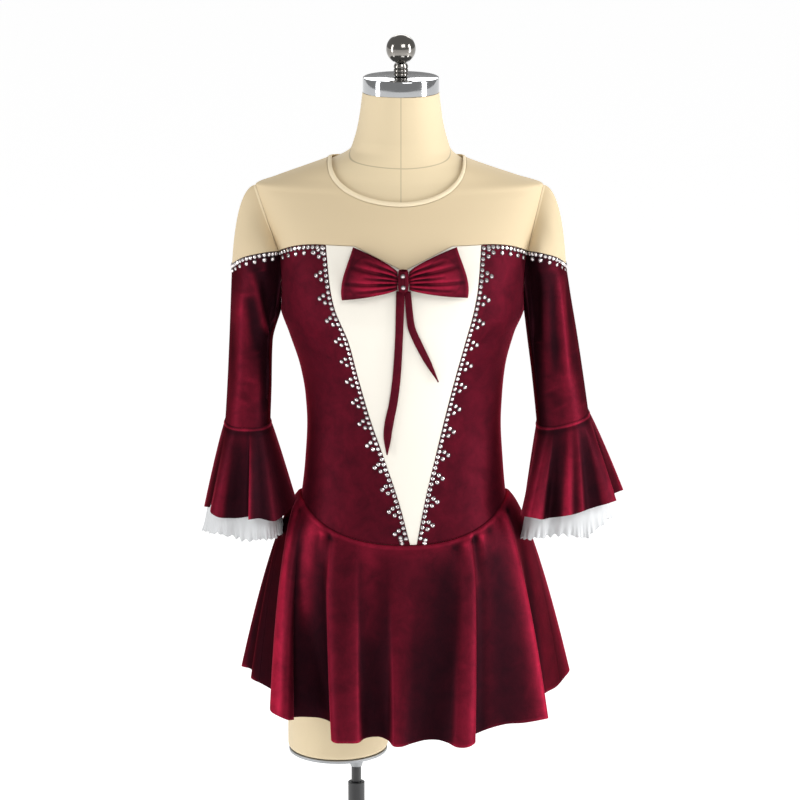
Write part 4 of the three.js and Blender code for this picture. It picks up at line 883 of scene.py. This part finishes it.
def hung_cloth(seam, hem, oval, v, flare, thin=0):
    """Cloth from a seam to its hem: the even flare comes first, and folds deepen on the way down."""
    even_x, even_y = hem_point(oval, hem[:, 0])
    spread = v ** flare
    x = mix(seam[:, 0], even_x, spread) + (hem[:, 1] - even_x) * v
    y = mix(seam[:, 1], even_y, spread) + (hem[:, 2] - even_y) * v
    return np.stack([x, y, mix(seam[:, 2] - thin, hem[:, 3], v)], -1)


CUFFS = {
    # oval: its middle's x and y, reach right, left, front and back
    # velvet and frill: place round the seam in degrees, then the hem's x, y and height
    "left": {"oval": (-205, -16, 50, 54, 68, 64), "velvet": [
        (-36, -148.2, 22, 939.9), (-16, -141.1, 2, 953.6), (4, -142.6, -20, 952.3),
        (20, -148, -40, 948.6),
        (36, -156.6, -58, 945.1), (50, -166.6, -72, 941.9), (60, -175.6, -76, 943.6),
        (68, -185.8, -79, 947), (76, -194.6, -86, 948.1), (82, -200.4, -90, 948.3),
        (86, -199.3, -75, 948.6), (90, -204.4, -63, 945), (98, -214.9, -58, 942.4),
        (108, -227.7, -62, 943.4), (118, -239.2, -66, 945.1), (129, -249.2, -58, 948.4),
        (139, -251.4, -43, 950), (150, -249.7, -29, 949.2), (163, -255.5, -14, 946.1),
        (180, -260.9, 3, 942.6), (198, -259.6, 22, 940.6), (214, -241.1, 22.5, 949.7),
        (230, -237, 40.2, 946.7), (246, -223.4, 38, 948.7), (262, -209, 52.3, 945.7),
        (276, -200.1, 43.2, 947.7), (292, -182.2, 43.8, 946.7), (307, -177.3, 29.4, 948.7)
    ], "frill": [
        (-26, -157.2, 10, 907.8), (-2, -160.4, -20, 911.4), (24, -166.3, -42, 912.9),
        (44, -173.1, -56, 913.2), (62, -183.9, -61, 915.8), (80, -196.9, -61, 913.8),
        (92, -208.8, -54, 911.3), (105, -220.5, -51, 915.2), (118, -236, -54, 919.3),
        (132, -246.6, -48, 919.8), (148, -251.7, -33, 916.7), (166, -260.4, -14, 913.2),
        (184, -263.8, 6, 908.8), (202, -257.9, 22, 907.6), (216, -243.5, 24.8, 913),
        (230, -236.6, 30.4, 917.5), (246, -223.4, 33.1, 919), (262, -208.5, 43.4, 919),
        (278, -199, 38.5, 919), (294, -183.4, 36, 919), (312, -176.9, 24, 919)
    ]},
    "right": {"oval": (216, -18, 62, 54, 68, 62), "velvet": [
        (-20, 286.2, 6, 965.4), (-6, 280.4, -8, 965.5), (5, 274, -20, 965.7), (14, 267.6, -31, 962.4),
        (22, 271, -44, 962.3), (30, 275, -55, 965), (37, 267.5, -63, 964.3), (45, 258.9, -67, 962.6),
        (52, 249.3, -66, 959.7), (60, 238.9, -68, 956.9), (67, 230.2, -77, 955.8),
        (74, 220.5, -78, 952.7),
        (82, 210.1, -82, 951.5), (90, 198.1, -73, 947.5), (99, 187.4, -66, 944.4),
        (106, 182.1, -71, 944.3), (112, 176.6, -81, 946.3), (122, 164.8, -86, 949.9),
        (132, 156, -78, 949.5), (142, 151.1, -60, 946.6), (154, 153.1, -41, 947.5),
        (168, 158.8, -24, 947.3), (184, 156.6, -8, 947.3), (198, 170.9, 2.9, 944.1),
        (214, 173.7, 18.6, 944), (230, 186.4, 23.9, 946.4), (246, 196.8, 42.6, 948.1),
        (261, 209.1, 38.5, 952), (277, 228.5, 46.5, 955.1), (292, 238.5, 35.1, 960),
        (308, 259.1, 29.9, 965.8), (324, 263.3, 13.9, 970.3)
    ], "frill": [
        (-20, 272.1, 4, 929.6), (0, 268.6, -16, 931.9), (18, 262.4, -38, 933.4),
        (36, 250.2, -52, 926.2),
        (56, 237.1, -58, 917), (75, 221.4, -62, 919.4), (90, 204.5, -62, 920.7),
        (103, 189.2, -56, 917.8),
        (118, 176.1, -60, 916.2), (132, 163.3, -58, 914.3), (146, 153.3, -44, 912.1),
        (162, 152.5, -24, 908.4), (180, 157.6, -4, 906), (196, 173.9, 1.5, 913.3),
        (212, 175.7, 13.2, 914.1), (228, 186.4, 19.8, 916.5), (246, 199, 35.6, 919.4),
        (264, 211.1, 35, 922.7), (282, 231.7, 36.8, 926.1), (300, 243.6, 26.2, 930.2),
        (320, 261.1, 14.8, 933.2)
    ]},
}

chiffon, shader = finish("white_chiffon", (0.62, 0.63, 0.64), 0.75)
feed(shader, {"Sheen Weight": 0.1})
place = node(shader, "TexCoord", {}).outputs["UV"]
bump(shader, node(shader, "TexNoise", {"Vector": place, "Scale": 1200}).outputs["Fac"], 0.15, 0.0003)

for side, cuff in CUFFS.items():
    sleeve = SLEEVE_ROWS[side]
    axis = cuff["oval"][:2]
    hem = drawn_hem(cuff["velvet"], 8)
    seam = cuff_ring(sleeve, np.radians(-hem[:, 0]))
    v = np.linspace(0, 1, 51)[:, None]
    grid = hung_cloth(seam, hem, cuff["oval"], v, 0.85)
    ways = surface_normals(grid, axis)
    level = ways * np.array([1, 1, 0])
    seam_roll = 1.3 * swelling(v, 0.012, 0.014)
    grid = grid + level * seam_roll[..., None]
    grid[0, :, 2] += 0.9
    # Painted shade over each flounce, lessened by a band of painted light near its middle across; the
    # left flounce gets more painted shade.
    painted_shade_base, painted_light_amount = {"left": (-0.55, 0.65), "right": (-0.3, 0.55)}[side]
    mottle_and_painted_shading = painted_shade_base + painted_light_amount * swelling(grid[..., 0], axis[0], 10)
    bell = cloth("cuff_flounce_%s_hung" % side, grid, 1.4, wrap=True, away=axis, painted_shading=(6, 1.7, mottle_and_painted_shading))
    stand_for(bell, velvet, "cuff_flounce_" + side)

    hem = drawn_hem(cuff["frill"], 20)
    turn = np.radians(hem[:, 0])
    seam = cuff_ring(sleeve, -turn)
    inward = np.stack([np.cos(turn), -np.sin(turn), 0 * turn], -1) * 3
    grid = hung_cloth(seam - inward, hem, cuff["oval"], v, 0.85, 0.6)
    ways = surface_normals(grid, axis)
    low = np.clip((v - 0.84) / 0.16, 0, 1) ** 2
    wander = 2.2 * np.sin(3 * turn) + 1.3 * np.sin(7 * turn + 1)
    flute = low * (1.3 * np.sin(33 * turn + wander) + 0.6 * np.sin(51 * turn - wander))
    grid = grid + ways * (flute + 0.45 * v * np.sin(14 * turn + wander))[..., None]
    grid[..., 2] += low * (1.3 * np.sin(21 * turn + 2 * wander) + 0.8 * np.sin(38 * turn))
    frill = cloth("cuff_frill_%s_fluted" % side, grid, 0.8, wrap=True, away=axis)
    stand_for(frill, chiffon, "cuff_frill_" + side)


# ---------------------------------------------------------------- skirt and brief
# A circular skirt of velvet in two halves, its top edge overlocked to the bodice so that the seam
# stands up as a thin roll. Under it a velvet brief is sewn into the same seam.
SKIRT_OVAL = (0, 4, 214, 214, 176, 186)
SKIRT_DROP = 245        # mm from the seam to the hem, about
SKIRT_HEM = [
    # place round the seam in degrees, x, y, height
    (-14, 219, 22, 716.6), (-4, 211, 2, 710), (4, 199.7, -22, 704.6), (11, 187.2, -44, 704.2),
    (17, 175, -60, 699.4), (21, 174.5, -76, 691.9), (25, 181.9, -92, 685.8), (28, 187.4, -102, 686),
    (33, 177.5, -110, 685.7), (38, 153.9, -121, 684.9), (43, 133, -130, 686.3),
    (49, 112.1, -140, 683.9),
    (53, 96.6, -147, 680), (55, 88, -157, 678.3), (57, 91.6, -174, 674.7), (60, 81.2, -184, 671.1),
    (63, 67.8, -184, 671.1), (67, 56.4, -173, 673.7), (72, 43.6, -166, 675.6), (77, 28.2, -166, 675.6),
    (83, 10.2, -173, 673.1), (88, -3.9, -181, 670.8), (93, -13.5, -181, 671.5),
    (97, -20.6, -168, 675.6),
    (101, -30.9, -160, 677.8), (105, -42.5, -159, 677.5), (109, -51.4, -165, 676.7),
    (112, -59, -177, 674.9), (118, -75.7, -180, 675.2), (124, -88.5, -176, 674.6),
    (127, -93.8, -167, 675.9), (129.5, -90.2, -147, 680.6), (132.5, -94.5, -120, 685.3),
    (137, -109, -103, 686.3), (142, -125.9, -98, 686.2), (147, -138.8, -101, 687.1),
    (150, -145.7, -111, 688.7), (152.5, -142.2, -124, 690.5), (156, -149.7, -134, 692.8),
    (161, -161.4, -130, 696.4), (165.5, -172.8, -113, 698.7), (168.5, -172.8, -89, 702.4),
    (171.5, -166.8, -68, 705.8), (175, -172.6, -48, 708.1), (179, -186.2, -28, 710.5),
    (183, -201.3, -8, 712.9), (186, -199.2, 10, 715.9), (189, -203.6, 24, 716.7),
    (193, -215.4, 40, 716.3),
    (199, -194.2, 62.1, 724.8), (206, -179.9, 73.6, 716.6), (213, -186.9, 105.5, 703.9),
    (218, -176.3, 128.1, 699.5), (222, -156.8, 133.3, 697.7), (225, -147.1, 123.2, 698.7),
    (230, -127.4, 127, 695.4), (236, -116.1, 153.6, 686.7), (241, -106.5, 178.1, 680.9),
    (246, -82.6, 181.6, 679.5), (251, -59.8, 169, 680.4), (256, -45.3, 174.4, 677.8),
    (261, -27.4, 197.8, 672.6), (266, -6.1, 204.8, 671), (270, 5.8, 195.5, 672.8),
    (273, 3.5, 180.7, 674.9), (278, 20.6, 174.2, 676.5), (284, 51.8, 184.5, 675.8),
    (290, 80.5, 186.3, 676.8), (295, 93.8, 171.2, 681.9), (300, 97.8, 148.2, 689.4),
    (306, 125.2, 143.2, 691.9), (311, 154.7, 145.7, 692), (316, 165.9, 138.5, 695.4),
    (320, 156.2, 128.4, 701.1), (325, 155.1, 109.4, 708.5), (333, 182.3, 77.9, 715.9),
    (340, 202.6, 51.2, 720.3)
]
# Short gathers that start in the seam: place round it, width in degrees, depth and length in mm.
SEAM_GATHERS = [(54, 2.2, 4.5, 60), (60, 2.4, -2.6, 48), (49.5, 2, -2.2, 40), (66, 2.5, 1.8, 34),
                (43, 2.4, 1.6, 30), (128, 2.6, 3, 70), (134, 3, -2, 50), (168, 3, -2.5, 60),
                (161, 3, 2.4, 50), (27, 3, -2.4, 60), (20, 3, 2.2, 50), (224, 3, 3, 60),
                (250, 3, 2.6, 50),
                (272, 2.6, 3, 56), (300, 3, 2.6, 60), (322, 3, 2.8, 50), (206, 3, 2, 40)]
# Bands of painted light and painted shade: place round the seam, width in degrees, the shares of the
# way down where the band starts and ends, and how much painted light it adds (under 0, painted shade).
SKIRT_PAINTED_LIGHT_BANDS = [(178, 11, 0.04, 1, -1.1), (163, 3.2, 0, 1, 1.25), (152, 3.4, 0.1, 1, -0.5),
              (143, 6, 0, 0.52, 0.8), (127.8, 1.4, 0.05, 1, 0.5), (118, 6, 0.3, 1, -0.16),
              (105, 5, 0, 0.5, 0.45), (86, 8, 0.45, 1, -0.24), (71, 5, 0.1, 1, -0.32),
              (55.5, 1.4, 0, 1, 0.5),
              (43, 6, 0.1, 1, -0.48), (29, 3.4, 0, 1, 0.55), (15, 5, 0.3, 1, -0.2),
              (190, 5, 0.1, 1, -0.5),
              (199, 3, 0, 1, 0.6), (226, 5, 0, 0.5, 0.5), (241, 4, 0.1, 1, -0.3), (262, 3, 0, 1, 0.5),
              (285, 5, 0.2, 1, -0.35), (304, 3, 0, 1, 0.5), (318, 5, 0, 0.5, 0.4),
              (335, 4, 0.2, 1, -0.4)]
hem = drawn_hem(SKIRT_HEM, 8)
hem = hem[np.argsort(hem[:, 0] % 360, kind="stable")]
place_round = hem[:, 0] % 360
for name, first in [("skirt_front", 0), ("skirt_back", 180)]:
    chosen = hem[(place_round >= first) & (place_round < first + 180)]
    ends = [np.array([np.interp(edge, place_round, hem[:, k], period=360) for k in range(4)])
            for edge in (first + 0.04, first + 179.96)]
    ends[0][0], ends[1][0] = first + 0.04, first + 179.96
    chosen = np.concatenate([ends[:1], chosen[1:], ends[1:]])
    turn = chosen[:, 0]
    seam = body_point(turn, skirt_seam_z(turn))
    v = (np.linspace(0, 1, 74) ** 1.3)[:, None]
    grid = hung_cloth(seam, chosen, SKIRT_OVAL, v, 0.6, 0.3)
    ways = surface_normals(grid, (0, 0), wrap=False) * np.array([1, 1, 0.2])
    down = SKIRT_DROP * v
    press = 0 * turn + 0 * v
    for where, wide, depth, long in SEAM_GATHERS:
        near = swelling(turn % 360, where, wide)
        press = press + depth * near * np.clip(down / 9, 0, 1) * np.clip(1 - down / long, 0, 1) ** 1.2
    seam_roll = 1.2 * swelling(down, 1.6, 1.4)
    grid = grid + ways * (seam_roll - press)[..., None]
    # Painted shade over the whole skirt, with a painted highlight on the hem's last row.
    mottle_and_painted_shading = -0.34 + 0.6 * (v > 0.99)
    for where, wide, start, end, painted_light_amount in SKIRT_PAINTED_LIGHT_BANDS:
        near = swelling(turn % 360, where, wide)
        begun, ended = (v - start) / 0.14 + 0.5, (end - v) / 0.14 + 0.5
        mottle_and_painted_shading = mottle_and_painted_shading + painted_light_amount * near * np.clip(begun, 0, 1) * np.clip(ended, 0, 1)
    half = cloth(name + "_hung", grid, 1.4, painted_shading=(7, 3.2, mottle_and_painted_shading))
    stand_for(half, velvet, name)

turn, v = np.meshgrid(np.linspace(0, 360, 180, endpoint=False), np.linspace(0, 1, 25))
leg_z = mix(880, 842, np.sin(np.radians(turn)) ** 2)
grid = body_point(turn, mix(skirt_seam_z(turn) - 4, leg_z, v))
brief = cloth("brief_sewn", grid, 1.6, wrap=True)
stand_for(brief, velvet, "brief")


# ---------------------------------------------------------------- bow
# Two loops of a velvet band are pleated into a knot, which is a short strip wrapped round them and
# stitched to the V panel. Two pointed ties hang from behind it, turned through and pressed.
BOW_X = -1
LINING = 0.8            # how far the bow stands off the V panel's inner face, in mm
KNOT_DEEP = 9.2         # from the panel to the knot's middle
BOW_PLEATS = [
    # share of the loop's height, width of the pleat, its depth in mm, its length
    (0.14, 0.05, 2.2, 0.8), (0.32, 0.055, 3.4, 1.0), (0.49, 0.045, 2.4, 0.66),
    (0.65, 0.06, 3.6, 0.96), (0.84, 0.05, 2.2, 0.76)]
for side, sign, reach_low, reach_top, low in [("left", -1, 78, 64, 1242), ("right", 1, 82, 68, 1245)]:
    u, v = np.meshgrid(np.linspace(0, 1, 97), np.linspace(0, 1, 61))
    swing = u * np.pi
    out = np.sin(swing) ** 0.8
    reach = mix(reach_low, reach_top, v ** 1.4) + 5 * np.sin(np.pi * v) * (1 - v)
    x = BOW_X + sign * mix(7.3, reach, out)
    spread = out ** 0.8
    z = mix(mix(1258, low, spread), mix(1279, V_TOP_Z, spread), v)
    fat = 0.35 + 0.65 * np.sin(np.pi * np.minimum(out, 0.92)) ** 0.7
    puff = 9 * fat * (0.75 + 0.25 * np.sin(np.pi * v))
    middle = np.maximum(puff, mix(KNOT_DEEP, 5.4, out))
    cos = np.cos(swing)
    y = face_point(x, z, -1)[..., 1] - LINING - middle - puff * np.sign(cos) * np.abs(cos) ** 0.6
    pleats = 0 * v
    for where, wide, depth, long in BOW_PLEATS:
        pleats += depth * swelling(v, where, wide) * np.clip(1 - (out / long) ** 2, 0, 1)
    y += pleats * np.where(u < 0.5, 1, -1) * np.clip(out * 9, 0.25, 1)
    grid = np.stack([x, y, z], -1)
    # A little painted light over the whole loop, on top of its painted fold shading.
    loop = cloth("bow_loop_%s_pleated" % side, grid, 1.1, away=(sign * 40, -108), painted_shading=(5, 1.1, 0.1))
    stand_for(loop, velvet, "bow_loop_" + side)

turn, v = np.meshgrid(np.linspace(0, 360, 64, endpoint=False), np.linspace(0, 1, 33))
z = mix(1256, 1281, v)
swell = 0.8 + 0.2 * np.sin(np.pi * v) ** 0.8
ripple = 1 - 0.05 * np.cos(np.radians(turn) * 9 + 2 * v) * np.sin(np.pi * v)
knot_x = BOW_X + 7 * swell * ripple * np.cos(np.radians(turn))
back_y = face_point(BOW_X + 0 * z, z, -1)[..., 1] - LINING
knot_y = back_y - KNOT_DEEP + 10.2 * swell * ripple * np.sin(np.radians(turn))
knot = cloth("bow_knot_wrapped", np.stack([knot_x, knot_y, z], -1), 1.4, wrap=True, away=(BOW_X, -112))
stand_for(knot, velvet, "bow_knot")

TIES = {
    # height, place across, width
    "left": [(1254, -4.5, 11), (1192, -6.5, 10), (1140, -9.5, 10.5), (1102, -14, 11),
             (1079, -18.5, 11.5), (1058, -21, 10), (1034, -21.5, 1.6)],
    "right": [(1254, 4.5, 8), (1212, 8.5, 9.5), (1190, 16.5, 10.5), (1167, 27, 9.5), (1133, 43, 1.6)],
}
for side, rows in TIES.items():
    rows = np.array(rows[::-1], float)
    u, v = np.meshgrid(np.linspace(-0.5, 0.5, 11), np.linspace(0, 1, 121))
    z = mix(rows[-1, 0], rows[0, 0], v)
    x = eased(rows[:, 0], rows[:, 1])(z) + u * eased(rows[:, 0], rows[:, 2])(z)
    grid = face_point(x, z, -1)
    ripple = 0.8 * np.sin(v * 17 + (0 if side == "left" else 2)) * v * (1 - v)
    lift = 3 + 1.4 * (1 - (2 * u) ** 2) + ripple
    grid = lifted(grid, lift)
    tie = cloth("bow_tail_%s_pressed" % side, grid, 1.8)
    stand_for(tie, velvet, "bow_tail_" + side)


# ---------------------------------------------------------------- stones
# Flat-backed glass stones in low dark metal settings, glued on one by one: rows along both edges of
# the V panel with small teeth outside them, a row under the velvet's top edge, and two on the knot.
STONE_PITCH = 6.6       # along the velvet's top edge, in mm


def even_steps(path, first, pitch):
    """Lengths at an even pitch along a path of points, and the run of length up to each point."""
    run = np.concatenate([[0], np.cumsum(np.linalg.norm(np.diff(path, axis=0), axis=1))])
    places = np.arange(first, run[-1] - 1.5, pitch)
    return places, run


def along_path(path, run, places):
    return np.stack([np.interp(places, run, path[:, k]) for k in range(3)], -1)


stone_points, stone_ways = [], []


def set_stones(points):
    stone_points.append(points)
    stone_ways.append(body_normal(points))


z = np.linspace(1304, 919, 400)
for sign, seam in [(-1, v_seam_left), (1, v_seam_right)]:
    rows = [face_point(seam(z) + sign * step, z, -1) for step in (3.2, 10, 16)]
    places, run = even_steps(rows[0], 1, 7.15)
    set_stones(along_path(rows[0], run, places))
    teeth = np.arange(8, run[-1] - 8, 29.8 if sign < 0 else 30.8)
    set_stones(along_path(rows[1], run, np.concatenate([teeth - 4.6, teeth + 4.6])))
    set_stones(along_path(rows[2], run, teeth))
    set_stones(along_path(rows[1], run, np.array([run[-1] - 5, run[-1] - 0.5])))

for sign in (-1, 1):
    v_lean = float(seam_lean(sign, np.array(V_TOP_Z)))
    for face, far, far_z in [(-1, v_lean, V_TOP_Z), (1, 90, BACK_TOP_Z)]:
        share = np.linspace(0, 0.97 if face < 0 else 1, 120)
        lean, top_z = chest_edge(share, far, far_z)
        turn = side_turn(sign, -face * lean)
        row, drops = body_point(turn, top_z - 3), body_point(turn, top_z - 9.5)
        places, run = even_steps(row, 1.5, STONE_PITCH)
        set_stones(along_path(row, run, places))
        set_stones(along_path(drops, run, places[1::2]))

for side, sleeve in SLEEVE_ROWS.items():
    edge = sleeve_edge(sleeve, np.linspace(0.02, 0.98, 200))
    places, run = even_steps(edge, 1, STONE_PITCH)
    for step, chosen in [(3, places), (9.5, places[1::2])]:
        at = along_path(edge, run, chosen)
        x, y, _, _ = sleeve_section(sleeve, at[:, 2])
        way = np.stack([at[:, 0] - x, at[:, 1] - y, 0 * x], -1)
        way /= np.linalg.norm(way, axis=1, keepdims=True)
        at[:, 2] -= step
        stone_points.append(at)
        stone_ways.append(way)

knot_front = np.array([[BOW_X - 0.5, -1, 1275.5], [BOW_X, -1, 1262]])
knot_front[:, 1] = face_point(knot_front[:, 0], knot_front[:, 2], -1)[:, 1] - LINING - KNOT_DEEP - 10
stone_points.append(knot_front)
stone_ways.append(np.array([[0, -1, 0.0], [0, -1, 0.0]]))

points = np.concatenate(stone_points)
ways = np.concatenate(stone_ways)
side_way = np.cross(ways, [0, 0, 1.0])
side_way /= np.linalg.norm(side_way, axis=1, keepdims=True)
up_way = np.cross(side_way, ways)


def set_all(name, rings, sides, capped):
    """Copies a ringed shape to every stone's place; a ring is (radius, height) in mm."""
    shape, faces = [], []
    for j, (radius, rise) in enumerate(rings):
        for k in range(sides):
            angle = 2 * math.pi * (k + 0.5 * (j % 2)) / sides
            shape.append((radius * math.cos(angle), radius * math.sin(angle), rise))
    for j in range(len(rings) - 1):
        for k in range(sides):
            a, b = j * sides + k, j * sides + (k + 1) % sides
            c, d = a + sides, b + sides
            faces += [(a, b, d), (a, d, c)] if j % 2 else [(a, b, c), (b, d, c)]
    if capped:
        top = (len(rings) - 1) * sides
        faces += [(top, top + k, top + k + 1) for k in range(1, sides - 1)]
    shape = np.array(shape)
    placed = (points[:, None] + shape[None, :, :1] * side_way[:, None]
              + shape[None, :, 1:2] * up_way[:, None] + shape[None, :, 2:] * ways[:, None])
    placed = (placed + np.array([TORSO_X, 0, 0])).reshape(-1, 3) / 1000
    count = np.arange(len(points))[:, None, None] * len(shape)
    triangles = (np.array(faces)[None] + count).reshape(-1, 3)
    mesh = bpy.data.meshes.new(name)
    mesh.from_pydata(placed.tolist(), [], triangles.tolist())
    piece = bpy.data.objects.new(name, mesh)
    bpy.context.scene.collection.objects.link(piece)
    bpy.ops.object.select_all(action="DESELECT")
    piece.select_set(True)
    bpy.context.view_layer.objects.active = piece
    bpy.ops.object.mode_set(mode="EDIT")
    bpy.ops.mesh.select_all(action="SELECT")
    bpy.ops.mesh.normals_make_consistent(inside=False)
    bpy.ops.object.mode_set(mode="OBJECT")
    return piece


crystal, shader = finish("cut_crystal", (0.78, 0.73, 0.73), 0.06, 0.9)
rough_paint(shader, 0.04, 0.09, 200)
setting, shader = finish("dark_setting", (0.08, 0.075, 0.08), 0.3, 0.9)
rough_paint(shader, 0.25, 0.4, 200)
CUT = [(2.5, -0.2), (2.5, 0.6), (2, 1.3), (1.2, 1.75)]
CUP = [(3.15, -0.4), (3.15, 0.45), (2.85, 0.7), (2.45, 0.6), (2.45, 0.2)]
gems, cups = set_all("stones_cut", CUT, 8, True), set_all("stone_settings", CUP, 12, False)
for piece, material in [(gems, crystal), (cups, setting)]:
    piece.data.materials.append(material)
    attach(piece, "root")


low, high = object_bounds()
